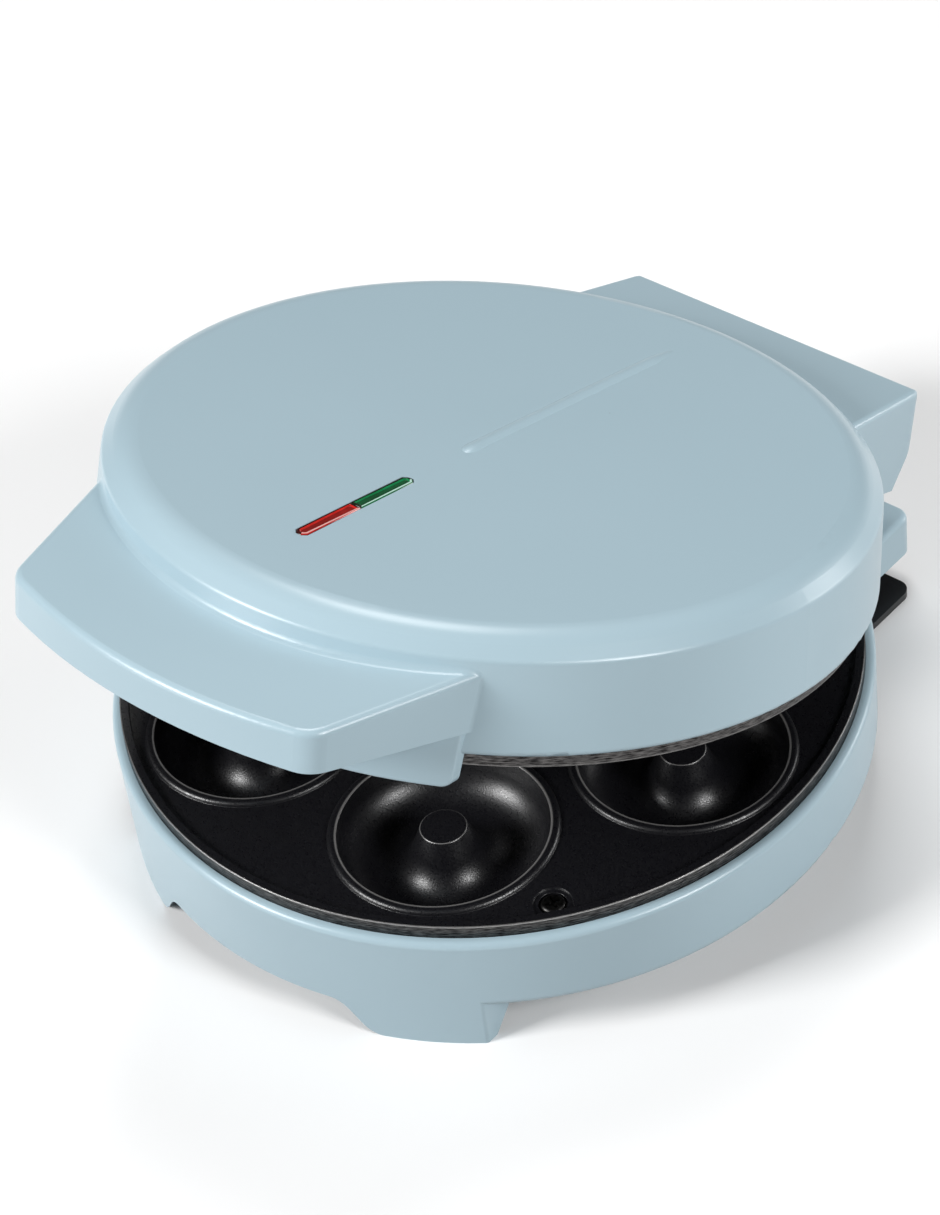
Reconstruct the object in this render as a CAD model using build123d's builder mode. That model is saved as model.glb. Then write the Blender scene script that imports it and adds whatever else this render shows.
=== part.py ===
from build123d import *
import os
from math import atan2, cos, degrees, radians, sin, sqrt

os.makedirs("parts", exist_ok=True)

# Distance from the round body's axis back to the middle of the whole object, in millimetres
middle_y = 5.5

# Housings: two shallow round shells of one radius
body_radius = 112.0
wall = 2.6
base_bottom_z = 14.4
base_rim_z = 40.0
rim_round = 2.0
bottom_round = 3.0

# The lid's rim mirrors the base's rim about the plane where the cooking plates meet
parting_z = 45.8
parting_gap = 3.2
lid_rim_z = 2 * parting_z - base_rim_z
shut_plane = Plane.XY.offset(parting_z)

# Lid: wall with a little draft, steep bevel, shallow dome and a long rib
lid_wall_height = 27.5
lid_draft = 2.4
bevel_width = 6.2
bevel_rise = 5.9
bevel_outer_round = 2.0
bevel_inner_round = 10.0
dome_rise = 0.6
rib_gap = 18.8
rib_end_inset = 30.7
rib_curve = 4.0
rib_height = 0.7
rib_fade = 10.0

# Hinge: two pins across the back; the lid stands ajar at rest
hinge_setback = 10.0
hinge_y = body_radius + hinge_setback
hinge_z = 48.2
lid_ajar = 14.73
pin_radius = 2.5
pin_clearance = 0.05
ear_radius = 5.5
ear_inner_x = 34.0
ear_outer_x = 42.0
lug_gap = 1.4
lug_thick = 5.2
lug_radius = 6.0
washer_thick = 1.0
washer_radius = 5.2

# Front handle, flaring from its front edge to the lid's wall
handle_length = 28.7
handle_reach = body_radius + handle_length
handle_bow = 8.6
handle_front_half = 54.3
handle_root_half = 68.3
handle_corner = 9.0
handle_edge_round = 2.0
handle_root_round = 2.0
handle_bottom = 7.2
handle_front_top = 19.3
handle_root_top = 24.2
handle_cover_thick = 2.4
cover_clearance = 0.2

# Skirt under the handle, which hides the gap between the shut housings
skirt_step = 1.0
skirt_radius = body_radius + skirt_step
skirt_thick = 2.6
skirt_drop = 9.6
skirt_corner = 3.0
skirt_edge_round = 1.0
skirt_taper = 1.7

# Hinge blocks at the back of both housings
lid_block_half = 54.0
lid_block_root_half = 57.8
lid_block_overlap = 24.0
lid_block_root_y = body_radius - lid_block_overlap
lid_block_depth = 24.4
lid_block_back_y = body_radius + lid_block_depth
lid_block_lean = 2.0
lid_block_top = 22.9
lid_block_root_top = 26.2
lid_block_waist = 7.3
lid_block_tip_reach = 3.5
lid_block_tip_y = hinge_y + lid_block_tip_reach
lid_block_tip_drop = 8.0
block_corner = 5.0
block_edge_round = 2.0
base_block_half = 53.5
base_block_overlap = 17.0
base_block_front_y = body_radius - base_block_overlap
base_block_depth = 25.0
base_block_back_y = body_radius + base_block_depth
base_block_bottom_z = 10.7
base_block_top_z = 25.0

# Front feet: an apron between them, an S-curve into each, an upright outer side
apron_z = 11.7
foot_curve_start_x = 29.0
foot_curve_end_x = 44.0
foot_outer_x = 69.0
foot_depth = 8.0
foot_toe = 3.0
foot_heel_z = 8.0
foot_round = 1.5
hole_clearance = 0.1

# Rear stand, a flat plate on a neck that the cord is wound on
stand_half = 59.0
stand_reach = 16.5
stand_back_y = body_radius + stand_reach
stand_length = 62.5
stand_front_y = stand_back_y - stand_length
stand_thick = 2.5
stand_corner = 4.5
neck_half = 38.0
neck_clearance = 1.0
neck_back_y = base_block_front_y - neck_clearance
neck_length = 24.0
neck_front_y = neck_back_y - neck_length
neck_corner = 8.0
pad_thick = 1.5
pad_proud = 0.5
rear_pad_radius = 6.0
rear_pad_x = 46.0
rear_pad_inset = 12.5
rear_pad_y = stand_back_y - rear_pad_inset
wrap_screw_x = 24.0

# Cooking plates: flat web, raised lip, seven ring moulds
plate_gap = 0.4
plate_radius = body_radius - wall - plate_gap
plate_thick = 3.0
lip_width = 2.6
lip_height = 1.4
plate_wall_height = 6.2
mould_count = 6
mould_gap = 6.2
mould_margin = 2.4
bead_width = 1.8
bead_height = 0.9
mould_room = plate_radius - lip_width - mould_margin + mould_gap / 2
mould_ring_radius = mould_room / (1 + sin(radians(180 / mould_count)))
mouth_radius = mould_room - mould_ring_radius - mould_gap / 2 - bead_width
mouth_flare = 0.8
trough_curve = 11.4
trough_radius = mouth_radius - mouth_flare - trough_curve
trough_depth = 13.0
mould_wall = 2.5
post_radius = 6.6
post_foot_radius = 9.0
post_rise = 1.0
post_bore = 4.0
plate_lip_z = parting_z - parting_gap / 2
plate_flat_z = plate_lip_z - lip_height
plate_under_z = plate_flat_z - plate_thick
plate_wall_low_z = plate_lip_z - plate_wall_height

# Screws that hold each plate to the pillars of its housing
plate_screw_inset = 7.0
plate_screw_radius = plate_radius - plate_screw_inset
plate_screw_angles = [-40.0, 40.0, 140.0, 220.0]
pocket_radius = 5.4
pocket_step = 0.5
counterbore_radius = 4.0
pocket_depth = 1.6
seat_depth = 1.5
pillar_radius = 3.8
screw_radius = 1.6
screw_head_radius = 3.5
screw_head_height = 1.8
screw_length = 12.0
recess_width = 0.9
recess_depth = 1.0

# Tubular heating element, clamped under the web between the moulds
element_radius = 3.25
element_ring_radius = mould_ring_radius / 2
element_drop = 15.8
element_leg_x = 6.5
element_bend = 10.0
element_end_inset = 15.0
element_end_y = body_radius - element_end_inset
clamp_count = 3
clamp_first_angle = 30.0
clamp_boss_offset = 9.7
clamp_ring_radius = element_ring_radius + clamp_boss_offset
clamp_boss_radius = 3.5
clamp_width = 9.0
clamp_thick = 1.5
clamp_overlap = 3.8
clamp_inner_radius = element_ring_radius - clamp_overlap
clamp_tail = 4.0
clamp_outer_radius = clamp_ring_radius + clamp_tail
clamp_screw_length = 8.0
element_z = plate_flat_z - element_drop

# Heat shield on short pegs, close to the housing
shield_clearance = 2.2
shield_radius = plate_screw_radius - pillar_radius - shield_clearance
shield_thick = 0.8
shield_lift = 1.4
peg_ring_radius = 60.0
peg_radius = 3.5
pip_radius = 1.5
peg_angles = [45.0, 135.0, 225.0, 315.0]

# Wiring, thermostat, fuse, terminal block and cord inlet
wire_radius = 1.2
wire_bend = 2.5
wire_z = 19.2
wire_run = 5.0
wire_drop_y = element_end_y + wire_run
wire_side_x = 14.0
fuse_inset = 22.0
fuse_y = body_radius - fuse_inset
fuse_half = 8.0
fuse_radius = 2.6
fuse_strap = 0.8
thermostat_radius = 7.5
thermostat_height = 8.0
blade_half = 2.4
blade_length = 3.0
terminal_half = 17.0
terminal_depth = 12.0
terminal_height = 8.0
terminal_lead = 2.0
terminal_y = hinge_y - terminal_lead
sleeve_radius = 2.2
sleeve_bend = 4.0
sleeve_x = 29.5
sleeve_offset = 8.0
sleeve_start_y = hinge_y + sleeve_offset
sleeve_meet_x = 21.5
sleeve_gap = 0.5
inlet_x = -34.0
inlet_z = 16.6
inlet_bore = 3.3
inlet_body = 4.3
inlet_flange = 5.6

# Indicator: two lenses end to end in a slot in the dome, lit by two small lamps
lens_inset = 31.8
lens_front_y = lens_inset - body_radius
lens_slot = 44.7
lens_back_y = lens_front_y + lens_slot
rib_front_y = lens_back_y + rib_gap
rib_back_y = body_radius - rib_end_inset
lens_half = 2.2
lens_gap = 0.15
lens_rise = 0.2
lens_depth = 4.5
lens_flange = 1.8
lens_flange_thick = 1.0
lens_chamfer = 1.3
lens_rim = 0.5
lens_tray = 0.5
lamp_radius = 2.0
lamp_length = 14.0
holder_half = 4.4
holder_wall = 1.2
holder_height = 6.0
holder_tab = 8.0
holder_tab_thick = 2.0

# Hinge cover and pin caps under the lid's hinge block
cover_half = 26.0
hinge_cover_thick = 2.4
hinge_cover_gap = 1.0
hinge_cover_front_y = body_radius + hinge_cover_gap
hinge_cover_screw_x = 20.0
hinge_cover_screw_inset = 9.4
cap_thick = 2.4
cap_radius = 6.9


def polar(radius, angle):
    return (radius * cos(radians(angle)), radius * sin(radians(angle)))


def hand_over(piece, label, pose=Location()):
    piece_in_place = stored_frame * pose * piece.part
    piece_in_place.label = label
    export_step(piece_in_place, f"parts/{label}.step")


# The stored frame stands on the table under the middle of the whole object
stored_frame = Location((0, -middle_y, 0))

# The lid and all it carries are modelled shut and turned up about the hinge
hinge_line = Location((0, hinge_y, hinge_z))
ajar = hinge_line * Location((0, 0, 0), (-lid_ajar, 0, 0)) * hinge_line.inverse()

mould_places = [(0.0, 0.0)] + [polar(mould_ring_radius, n * 360 / mould_count) for n in range(mould_count)]
plate_screw_places = [polar(plate_screw_radius, angle) for angle in plate_screw_angles]
peg_places = [polar(peg_ring_radius, angle) for angle in peg_angles]
floor_z = base_bottom_z + wall
seat_z = plate_under_z - seat_depth
pocket_z = plate_flat_z - pocket_depth
shield_z = floor_z + shield_lift
inner_radius = body_radius - wall
lid_wall_z = lid_rim_z + lid_wall_height
lid_bevel_z = lid_wall_z + bevel_rise
lid_top_z = lid_bevel_z + dome_rise
lid_wall_radius = body_radius - lid_draft
bevel_radius = lid_wall_radius - bevel_width
stand_z = pad_proud


# Pan-head screw with a cross recess: seat at the origin, shank pointing down
def make_screw(length):
    with BuildPart() as screw:
        with BuildSketch():
            Circle(screw_head_radius)
        extrude(amount=screw_head_height)
        fillet(screw.faces().sort_by(Axis.Z)[-1].edges(), screw_head_height / 3)
        with BuildSketch():
            Circle(screw_radius)
        extrude(amount=-length)
        with BuildSketch(Plane.XY.offset(screw_head_height)):
            Rectangle(1.3 * screw_head_radius, recess_width)
            Rectangle(recess_width, 1.3 * screw_head_radius)
        extrude(amount=-recess_depth, mode=Mode.SUBTRACT)
    return screw.part


# A round wire or tube along straight runs with rounded corners
def lay_tube(points, radius, bend):
    with BuildPart() as tube:
        with BuildLine() as route:
            FilletPolyline(*points, radius=bend)
        with BuildSketch(Plane(origin=points[0], z_dir=route.line % 0)):
            Circle(radius)
        sweep(path=route.line)
    return tube.part


plate_screw = make_screw(screw_length)
clamp_screw = make_screw(clamp_screw_length)

# Base hinge block: a box behind the cup, rounded at its back
with BuildPart() as base_block:
    with BuildSketch(Plane.XY.offset(base_block_bottom_z)) as block_plan:
        with Locations((0, base_block_front_y)):
            Rectangle(
                2 * base_block_half,
                base_block_back_y - base_block_front_y,
                align=(Align.CENTER, Align.MIN),
            )
        fillet(block_plan.vertices().group_by(Axis.Y)[-1], block_corner)
    extrude(amount=base_block_top_z - base_block_bottom_z)
    fillet(base_block.faces().sort_by(Axis.Z)[-1].edges(), block_edge_round)

# Front feet with the apron between them, cut from one round band
with BuildPart() as front_feet:
    with BuildSketch(Plane.XZ):
        with BuildLine():
            Polyline(
                (body_radius - foot_toe, 0),
                (body_radius, 0),
                (body_radius, floor_z + bottom_round),
                (body_radius - foot_depth, floor_z + bottom_round),
                (body_radius - foot_depth, foot_heel_z),
                close=True,
            )
        make_face()
    revolve(axis=Axis.Z)
    with BuildSketch(Plane.XZ):
        with BuildLine():
            Line((0, floor_z + bottom_round), (0, apron_z))
            Line((0, apron_z), (foot_curve_start_x, apron_z))
            foot_curve_mid_x = (foot_curve_start_x + foot_curve_end_x) / 2
            Bezier(
                (foot_curve_start_x, apron_z),
                (foot_curve_mid_x, apron_z),
                (foot_curve_mid_x, 0),
                (foot_curve_end_x, 0),
            )
            Polyline(
                (foot_curve_end_x, 0),
                (foot_outer_x, 0),
                (foot_outer_x, floor_z + bottom_round),
                (0, floor_z + bottom_round),
            )
        make_face()
        mirror(about=Plane.YZ)
    extrude(amount=2 * body_radius, mode=Mode.INTERSECT)
    fillet(front_feet.edges().filter_by(Axis.Z).group_by(Axis.Y)[0], foot_round)
    with BuildSketch():
        Circle(inner_radius)
        Rectangle(2 * foot_curve_end_x, 2 * body_radius, mode=Mode.INTERSECT)
    extrude(amount=base_bottom_z, mode=Mode.SUBTRACT)

rear_pad_places = [(side * rear_pad_x, rear_pad_y) for side in (-1, 1)]
wrap_screw_y = (neck_front_y + neck_back_y) / 2
wrap_screw_places = [(side * wrap_screw_x, wrap_screw_y) for side in (-1, 1)]

# Base housing: cup, feet, hinge block and ears, pillars and pegs in one moulding
with BuildPart() as base_housing:
    with BuildSketch(Plane.XZ):
        with BuildLine():
            FilletPolyline(
                (0, base_bottom_z),
                (body_radius, base_bottom_z),
                (body_radius, base_rim_z),
                (0, base_rim_z),
                radius=[bottom_round, rim_round],
            )
            Line((0, base_rim_z), (0, base_bottom_z))
        make_face()
    revolve(axis=Axis.Z)
    add(base_block.part)
    add(front_feet.part)
    for side in (-1, 1):
        with BuildSketch(Plane.YZ.offset(side * (ear_inner_x + ear_outer_x) / 2)):
            with Locations((hinge_y, base_block_top_z - wall)):
                Rectangle(2 * ear_radius, hinge_z - base_block_top_z + wall, align=(Align.CENTER, Align.MIN))
            with Locations((hinge_y, hinge_z)):
                Circle(ear_radius)
            with Locations((hinge_y + ear_radius, base_block_top_z - wall)):
                Rectangle(
                    hinge_y + ear_radius - base_block_front_y,
                    base_rim_z - rim_round - base_block_top_z + wall,
                    align=(Align.MAX, Align.MIN),
                )
            with Locations((hinge_y, hinge_z)):
                Circle(pin_radius, mode=Mode.SUBTRACT)
        extrude(amount=(ear_outer_x - ear_inner_x) / 2, both=True)
    # Hollow of the cup, above its floor
    with BuildSketch(Plane.XY.offset(floor_z)):
        Circle(inner_radius)
    extrude(amount=hinge_z, mode=Mode.SUBTRACT)
    # Hollow of the hinge block, open below
    with BuildSketch(Plane.XY.offset(base_block_bottom_z)):
        with Locations((0, base_block_front_y + wall)):
            Rectangle(
                2 * (base_block_half - wall),
                base_block_back_y - base_block_front_y - 2 * wall,
                align=(Align.CENTER, Align.MIN),
            )
    extrude(amount=base_bottom_z - base_block_bottom_z, mode=Mode.SUBTRACT)
    with BuildSketch(Plane.XY.offset(base_bottom_z)):
        with Locations((0, base_block_front_y + wall)):
            Rectangle(
                2 * (base_block_half - wall),
                base_block_back_y - base_block_front_y - 2 * wall,
                align=(Align.CENTER, Align.MIN),
            )
        Circle(body_radius, mode=Mode.SUBTRACT)
    extrude(amount=base_block_top_z - wall - base_bottom_z, mode=Mode.SUBTRACT)
    # Window for the wires between the cup and the hinge block
    with BuildSketch(Plane.XZ):
        with Locations((0, wire_z)):
            Rectangle(2 * (wire_side_x + 2 * wire_radius), 3 * wire_radius)
    extrude(amount=-(body_radius + wall), mode=Mode.SUBTRACT)
    # Pillars for the plate screws and pegs for the heat shield
    with BuildSketch(Plane.XY.offset(floor_z)):
        with Locations(*plate_screw_places):
            Circle(pillar_radius)
    extrude(amount=seat_z - floor_z)
    with BuildSketch(Plane.XY.offset(seat_z)):
        with Locations(*plate_screw_places):
            Circle(screw_radius + hole_clearance)
    extrude(amount=-screw_length, mode=Mode.SUBTRACT)
    with BuildSketch(Plane.XY.offset(floor_z)):
        with Locations(*peg_places):
            Circle(peg_radius)
    extrude(amount=shield_lift)
    with BuildSketch(Plane.XY.offset(shield_z)):
        with Locations(*peg_places):
            Circle(pip_radius)
    extrude(amount=2 * shield_thick)
    # Screw holes for the cord wrap, sleeve hole and cord inlet hole
    with BuildSketch(Plane.XY.offset(base_bottom_z)):
        with Locations(*wrap_screw_places):
            Circle(screw_radius + hole_clearance)
    extrude(amount=wall, mode=Mode.SUBTRACT)
    with BuildSketch(Plane.XY.offset(base_block_top_z)):
        with Locations((sleeve_x, hinge_y)):
            Circle(sleeve_radius + hole_clearance)
    extrude(amount=-wall, mode=Mode.SUBTRACT)
    with BuildSketch(Plane.XZ.offset(-base_block_back_y)):
        with Locations((inlet_x, inlet_z)):
            Circle(inlet_body + hole_clearance)
    extrude(amount=wall, mode=Mode.SUBTRACT)
hand_over(base_housing, "base_housing")

# Rubber pads let into the stand
with BuildPart() as rear_foot_pads:
    with BuildSketch():
        with Locations(*rear_pad_places):
            Circle(rear_pad_radius)
    extrude(amount=pad_thick)
hand_over(rear_foot_pads, "rear_foot_pads")

# Rear stand and cord wrap: plate, neck, screw holes
neck_y = (neck_front_y + neck_back_y) / 2
neck_depth = neck_back_y - neck_front_y
with BuildPart() as cord_wrap:
    with BuildSketch(Plane.XY.offset(stand_z)):
        with Locations((0, (stand_front_y + stand_back_y) / 2)):
            RectangleRounded(2 * stand_half, stand_back_y - stand_front_y, stand_corner)
    extrude(amount=stand_thick)
    with BuildSketch(Plane.XY.offset(stand_z)):
        with Locations((0, neck_y)):
            RectangleRounded(2 * neck_half, neck_depth, neck_corner)
    extrude(amount=base_bottom_z - stand_z)
    with BuildSketch(Plane.XY.offset(stand_z)):
        with Locations((0, neck_y)):
            RectangleRounded(2 * (neck_half - wall), neck_depth - 2 * wall, neck_corner - wall)
    extrude(amount=base_bottom_z - stand_z - wall, mode=Mode.SUBTRACT)
    with BuildSketch(Plane.XY.offset(base_bottom_z)):
        with Locations(*wrap_screw_places):
            Circle(screw_radius + hole_clearance)
    extrude(amount=-wall, mode=Mode.SUBTRACT)
    with BuildSketch(Plane.XY.offset(stand_z)):
        with Locations(*rear_pad_places):
            Circle(rear_pad_radius + hole_clearance)
    extrude(amount=pad_thick - pad_proud, mode=Mode.SUBTRACT)
hand_over(cord_wrap, "cord_wrap")

wrap_screw = make_screw(2 * wall)
with BuildPart() as cord_wrap_screws:
    with Locations(*[Location((x, y, base_bottom_z - wall), (180, 0, 0)) for x, y in wrap_screw_places]):
        add(wrap_screw)
hand_over(cord_wrap_screws, "cord_wrap_screws")

# Cord inlet: a flanged bush pushed through the back of the hinge block
with BuildPart() as cord_inlet_bush:
    with BuildSketch(Plane.XZ.offset(-base_block_back_y)):
        with Locations((inlet_x, inlet_z)):
            Circle(inlet_flange)
    extrude(amount=-wall)
    with BuildSketch(Plane.XZ.offset(-base_block_back_y)):
        with Locations((inlet_x, inlet_z)):
            Circle(inlet_body)
    extrude(amount=3 * wall)
    with BuildSketch(Plane.XZ.offset(-base_block_back_y - wall)):
        with Locations((inlet_x, inlet_z)):
            Circle(inlet_bore)
    extrude(amount=4 * wall, mode=Mode.SUBTRACT)
hand_over(cord_inlet_bush, "cord_inlet_bush")

# One ring mould: bead, round trough and a conical post, about its own axis
with BuildPart() as mould:
    mould_low = -trough_depth - mould_wall
    mould_radius = mouth_radius + bead_width
    trough_low = (trough_radius, -trough_depth)
    mouth_low_radius = mouth_radius - mouth_flare
    mouth_low = (mouth_low_radius, mouth_low_radius - trough_radius - trough_depth)
    post_foot = (post_foot_radius, -0.4 * trough_depth)
    with BuildSketch(Plane.XZ):
        with BuildLine():
            Polyline(
                (0, post_rise - mould_wall),
                (post_bore, post_rise - mould_wall),
                (post_bore, mould_low),
                (trough_radius, mould_low),
            )
            TangentArc((trough_radius, mould_low), (mould_radius, -plate_thick), tangent=(1, 0))
            Line((mould_radius, -plate_thick), (mould_radius, 0))
            ThreePointArc(
                (mould_radius, 0),
                (mould_radius - bead_width / 2, bead_height),
                (mouth_radius, 0),
            )
            Line((mouth_radius, 0), mouth_low)
            TangentArc(trough_low, mouth_low, tangent=(1, 0))
            TangentArc(trough_low, post_foot, tangent=(-1, 0))
            Polyline(post_foot, (post_radius, post_rise), (0, post_rise), (0, post_rise - mould_wall))
        make_face()
    revolve(axis=Axis.Z)

# Lower cooking plate: web, lip, moulds, screw seats and clamp bosses in one casting
with BuildPart() as lower_plate:
    with BuildSketch(Plane.XY.offset(plate_under_z)):
        Circle(plate_radius)
        with Locations(*mould_places):
            Circle(mouth_radius + bead_width / 2, mode=Mode.SUBTRACT)
    extrude(amount=plate_thick)
    with BuildSketch(Plane.XY.offset(plate_wall_low_z)):
        Circle(plate_radius)
        Circle(plate_radius - lip_width, mode=Mode.SUBTRACT)
    extrude(amount=plate_wall_height)
    with Locations(*[(x, y, plate_flat_z) for x, y in mould_places]):
        add(mould.part)
    with BuildSketch(Plane.XY.offset(seat_z)):
        with Locations(*plate_screw_places):
            Circle(pillar_radius)
    extrude(amount=seat_depth)
    with BuildSketch(Plane.XY.offset(plate_flat_z)):
        with Locations(*[Location((*polar(plate_screw_radius, a), 0), (0, 0, a)) for a in plate_screw_angles]):
            Circle(pocket_radius)
            Rectangle(
                plate_radius - lip_width - plate_screw_radius,
                2 * pocket_radius,
                align=(Align.MIN, Align.CENTER),
            )
    extrude(amount=-pocket_step, mode=Mode.SUBTRACT)
    with BuildSketch(Plane.XY.offset(plate_flat_z)):
        with Locations(*plate_screw_places):
            Circle(counterbore_radius)
    extrude(amount=-pocket_depth, mode=Mode.SUBTRACT)
    with BuildSketch(Plane.XY.offset(seat_z)):
        with Locations(*plate_screw_places):
            Circle(screw_radius + hole_clearance)
    extrude(amount=plate_thick + seat_depth, mode=Mode.SUBTRACT)
    with BuildSketch(Plane.XY.offset(element_z - element_radius)):
        with PolarLocations(clamp_ring_radius, clamp_count, clamp_first_angle):
            Circle(clamp_boss_radius)
            Circle(screw_radius + hole_clearance, mode=Mode.SUBTRACT)
    extrude(amount=plate_under_z - element_z + element_radius)
    with BuildSketch(Plane.XY.offset(element_z + element_radius)):
        with PolarLocations(element_ring_radius, clamp_count, clamp_first_angle):
            Circle(element_radius)
    extrude(amount=plate_under_z - element_z - element_radius)
hand_over(lower_plate, "lower_cooking_plate")

with BuildPart() as lower_plate_screws:
    with Locations(*[(x, y, pocket_z) for x, y in plate_screw_places]):
        add(plate_screw)
hand_over(lower_plate_screws, "lower_plate_screws")

# Lower heating element: a ring with two legs that run out to the back
bend_x = element_leg_x + element_bend
bend_y = sqrt((element_ring_radius + element_bend) ** 2 - bend_x**2)
ring_start = degrees(atan2(bend_y, bend_x))
with BuildPart() as lower_element:
    with BuildLine(Plane.XY.offset(element_z)) as element_route:
        Line((element_leg_x, element_end_y), (element_leg_x, bend_y))
        CenterArc((bend_x, bend_y), element_bend, 180, ring_start)
        CenterArc((0, 0), element_ring_radius, ring_start, -180 - 2 * ring_start)
        CenterArc((-bend_x, bend_y), element_bend, -ring_start, ring_start)
        Line((-element_leg_x, bend_y), (-element_leg_x, element_end_y))
    with BuildSketch(Plane(origin=(element_leg_x, element_end_y, element_z), z_dir=(0, -1, 0))):
        Circle(element_radius)
    sweep(path=element_route.line)
hand_over(lower_element, "lower_heating_element")

with BuildPart() as lower_element_clamps:
    with BuildSketch(Plane.XY.offset(element_z - element_radius)):
        with PolarLocations(0, clamp_count, clamp_first_angle):
            with Locations(((clamp_inner_radius + clamp_outer_radius) / 2, 0)):
                Rectangle(clamp_outer_radius - clamp_inner_radius, clamp_width)
        with PolarLocations(clamp_ring_radius, clamp_count, clamp_first_angle):
            Circle(screw_radius + hole_clearance, mode=Mode.SUBTRACT)
    extrude(amount=-clamp_thick)
hand_over(lower_element_clamps, "lower_element_clamps")

clamp_screw_z = element_z - element_radius - clamp_thick
clamp_places = [polar(clamp_ring_radius, clamp_first_angle + n * 360 / clamp_count) for n in range(clamp_count)]
with BuildPart() as lower_clamp_screws:
    with Locations(*[Location((x, y, clamp_screw_z), (180, 0, 0)) for x, y in clamp_places]):
        add(clamp_screw)
hand_over(lower_clamp_screws, "lower_clamp_screws")

with BuildPart() as lower_shield:
    with BuildSketch(Plane.XY.offset(shield_z)):
        Circle(shield_radius)
        with Locations(*peg_places):
            Circle(pip_radius + hole_clearance, mode=Mode.SUBTRACT)
        with Locations(*wrap_screw_places):
            Circle(screw_radius + wall, mode=Mode.SUBTRACT)
    extrude(amount=shield_thick)
hand_over(lower_shield, "lower_heat_shield")

# Thermal fuse strapped under the lower plate at the back
fuse_z = plate_under_z - fuse_radius
with BuildPart() as thermal_fuse:
    with BuildSketch(Plane.YZ):
        with Locations((fuse_y, fuse_z)):
            Circle(fuse_radius)
    extrude(amount=fuse_half, both=True)
    with BuildSketch(Plane.YZ):
        with Locations((fuse_y, plate_under_z)):
            Rectangle(4 * fuse_radius, fuse_strap, align=(Align.CENTER, Align.MAX))
    extrude(amount=fuse_radius, both=True)
hand_over(thermal_fuse, "thermal_fuse")

# Terminal block under the top of the hinge block
terminal_top_z = base_block_top_z - wall
with BuildPart() as terminal_block:
    with BuildSketch(Plane.XY.offset(terminal_top_z)):
        with Locations((0, terminal_y)):
            Rectangle(2 * terminal_half, terminal_depth, align=(Align.CENTER, Align.MIN))
    extrude(amount=-terminal_height)
    chamfer(terminal_block.faces().sort_by(Axis.Z)[0].edges(), wire_radius / 2)
hand_over(terminal_block, "terminal_block")

# Base wiring: both element legs and the fuse to the terminal block
with BuildPart() as base_wiring:
    add(
        lay_tube(
            [
                (-element_leg_x, element_end_y, element_z),
                (-element_leg_x, wire_drop_y, element_z),
                (-element_leg_x, wire_drop_y, wire_z),
                (-element_leg_x, terminal_y, wire_z),
            ],
            wire_radius,
            wire_bend,
        )
    )
    add(
        lay_tube(
            [
                (element_leg_x, element_end_y, element_z),
                (element_leg_x, wire_drop_y, element_z),
                (wire_side_x, wire_drop_y, element_z),
                (wire_side_x, fuse_y, fuse_z),
                (fuse_half, fuse_y, fuse_z),
            ],
            wire_radius,
            wire_bend,
        )
    )
    add(
        lay_tube(
            [
                (-fuse_half, fuse_y, fuse_z),
                (-wire_side_x, fuse_y, fuse_z),
                (-wire_side_x, wire_drop_y, fuse_z),
                (-wire_side_x, wire_drop_y, wire_z),
                (-wire_side_x, terminal_y, wire_z),
            ],
            wire_radius,
            wire_bend,
        )
    )
hand_over(base_wiring, "base_wiring")

# Lead to the lid: a sleeve that climbs beside an ear and turns along the hinge line
sleeve_z = terminal_top_z - terminal_height / 2
with BuildPart() as base_lead_sleeve:
    add(
        lay_tube(
            [
                (terminal_half, sleeve_start_y, sleeve_z),
                (sleeve_x, sleeve_start_y, sleeve_z),
                (sleeve_x, hinge_y, sleeve_z),
                (sleeve_x, hinge_y, hinge_z),
                (sleeve_meet_x, hinge_y, hinge_z),
            ],
            sleeve_radius,
            sleeve_bend * 0.9,
        )
    )
hand_over(base_lead_sleeve, "base_lead_sleeve")

# Hinge pins, fixed in the ears, and the friction washers on them
lug_inner_x = ear_outer_x + lug_gap
lug_outer_x = lug_inner_x + lug_thick
with BuildPart() as hinge_pins:
    for side in (-1, 1):
        with BuildSketch(Plane.YZ.offset(side * ear_inner_x)):
            with Locations((hinge_y, hinge_z)):
                Circle(pin_radius)
        extrude(amount=side * (lug_outer_x - ear_inner_x))
hand_over(hinge_pins, "hinge_pins")

with BuildPart() as hinge_washers:
    for side in (-1, 1):
        with BuildSketch(Plane.YZ.offset(side * (ear_outer_x + lug_gap / 2))):
            with Locations((hinge_y, hinge_z)):
                Circle(washer_radius)
                Circle(pin_radius + pin_clearance, mode=Mode.SUBTRACT)
        extrude(amount=washer_thick / 2, both=True)
hand_over(hinge_washers, "hinge_washers")


# Plan of the handle: straight flaring sides, bowed front, rounded corners
def draw_handle_plan(inset):
    front_y = inset - handle_reach
    corner_y = front_y + handle_bow
    root_y = -sqrt(body_radius**2 - handle_root_half**2)
    flare = (handle_root_half - handle_front_half) / (root_y + handle_reach - handle_bow)
    inner_y = root_y + 6 * wall
    inner_half = handle_root_half + flare * 6 * wall - inset
    with BuildLine() as outline:
        Polyline(
            (handle_front_half - inset, corner_y),
            (inner_half, inner_y),
            (-inner_half, inner_y),
            (inset - handle_front_half, corner_y),
        )
        ThreePointArc(
            (inset - handle_front_half, corner_y),
            (0, front_y),
            (handle_front_half - inset, corner_y),
        )
    plan = make_face(outline.edges())
    fillet(plan.vertices().group_by(Axis.Y)[0], handle_corner - inset)


# Height of the handle's sloping top above the lid's rim
def handle_top(y):
    root_y = -sqrt(body_radius**2 - handle_root_half**2)
    corner_y = handle_bow - handle_reach
    return handle_front_top + (handle_root_top - handle_front_top) * (y - corner_y) / (root_y - corner_y)


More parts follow.
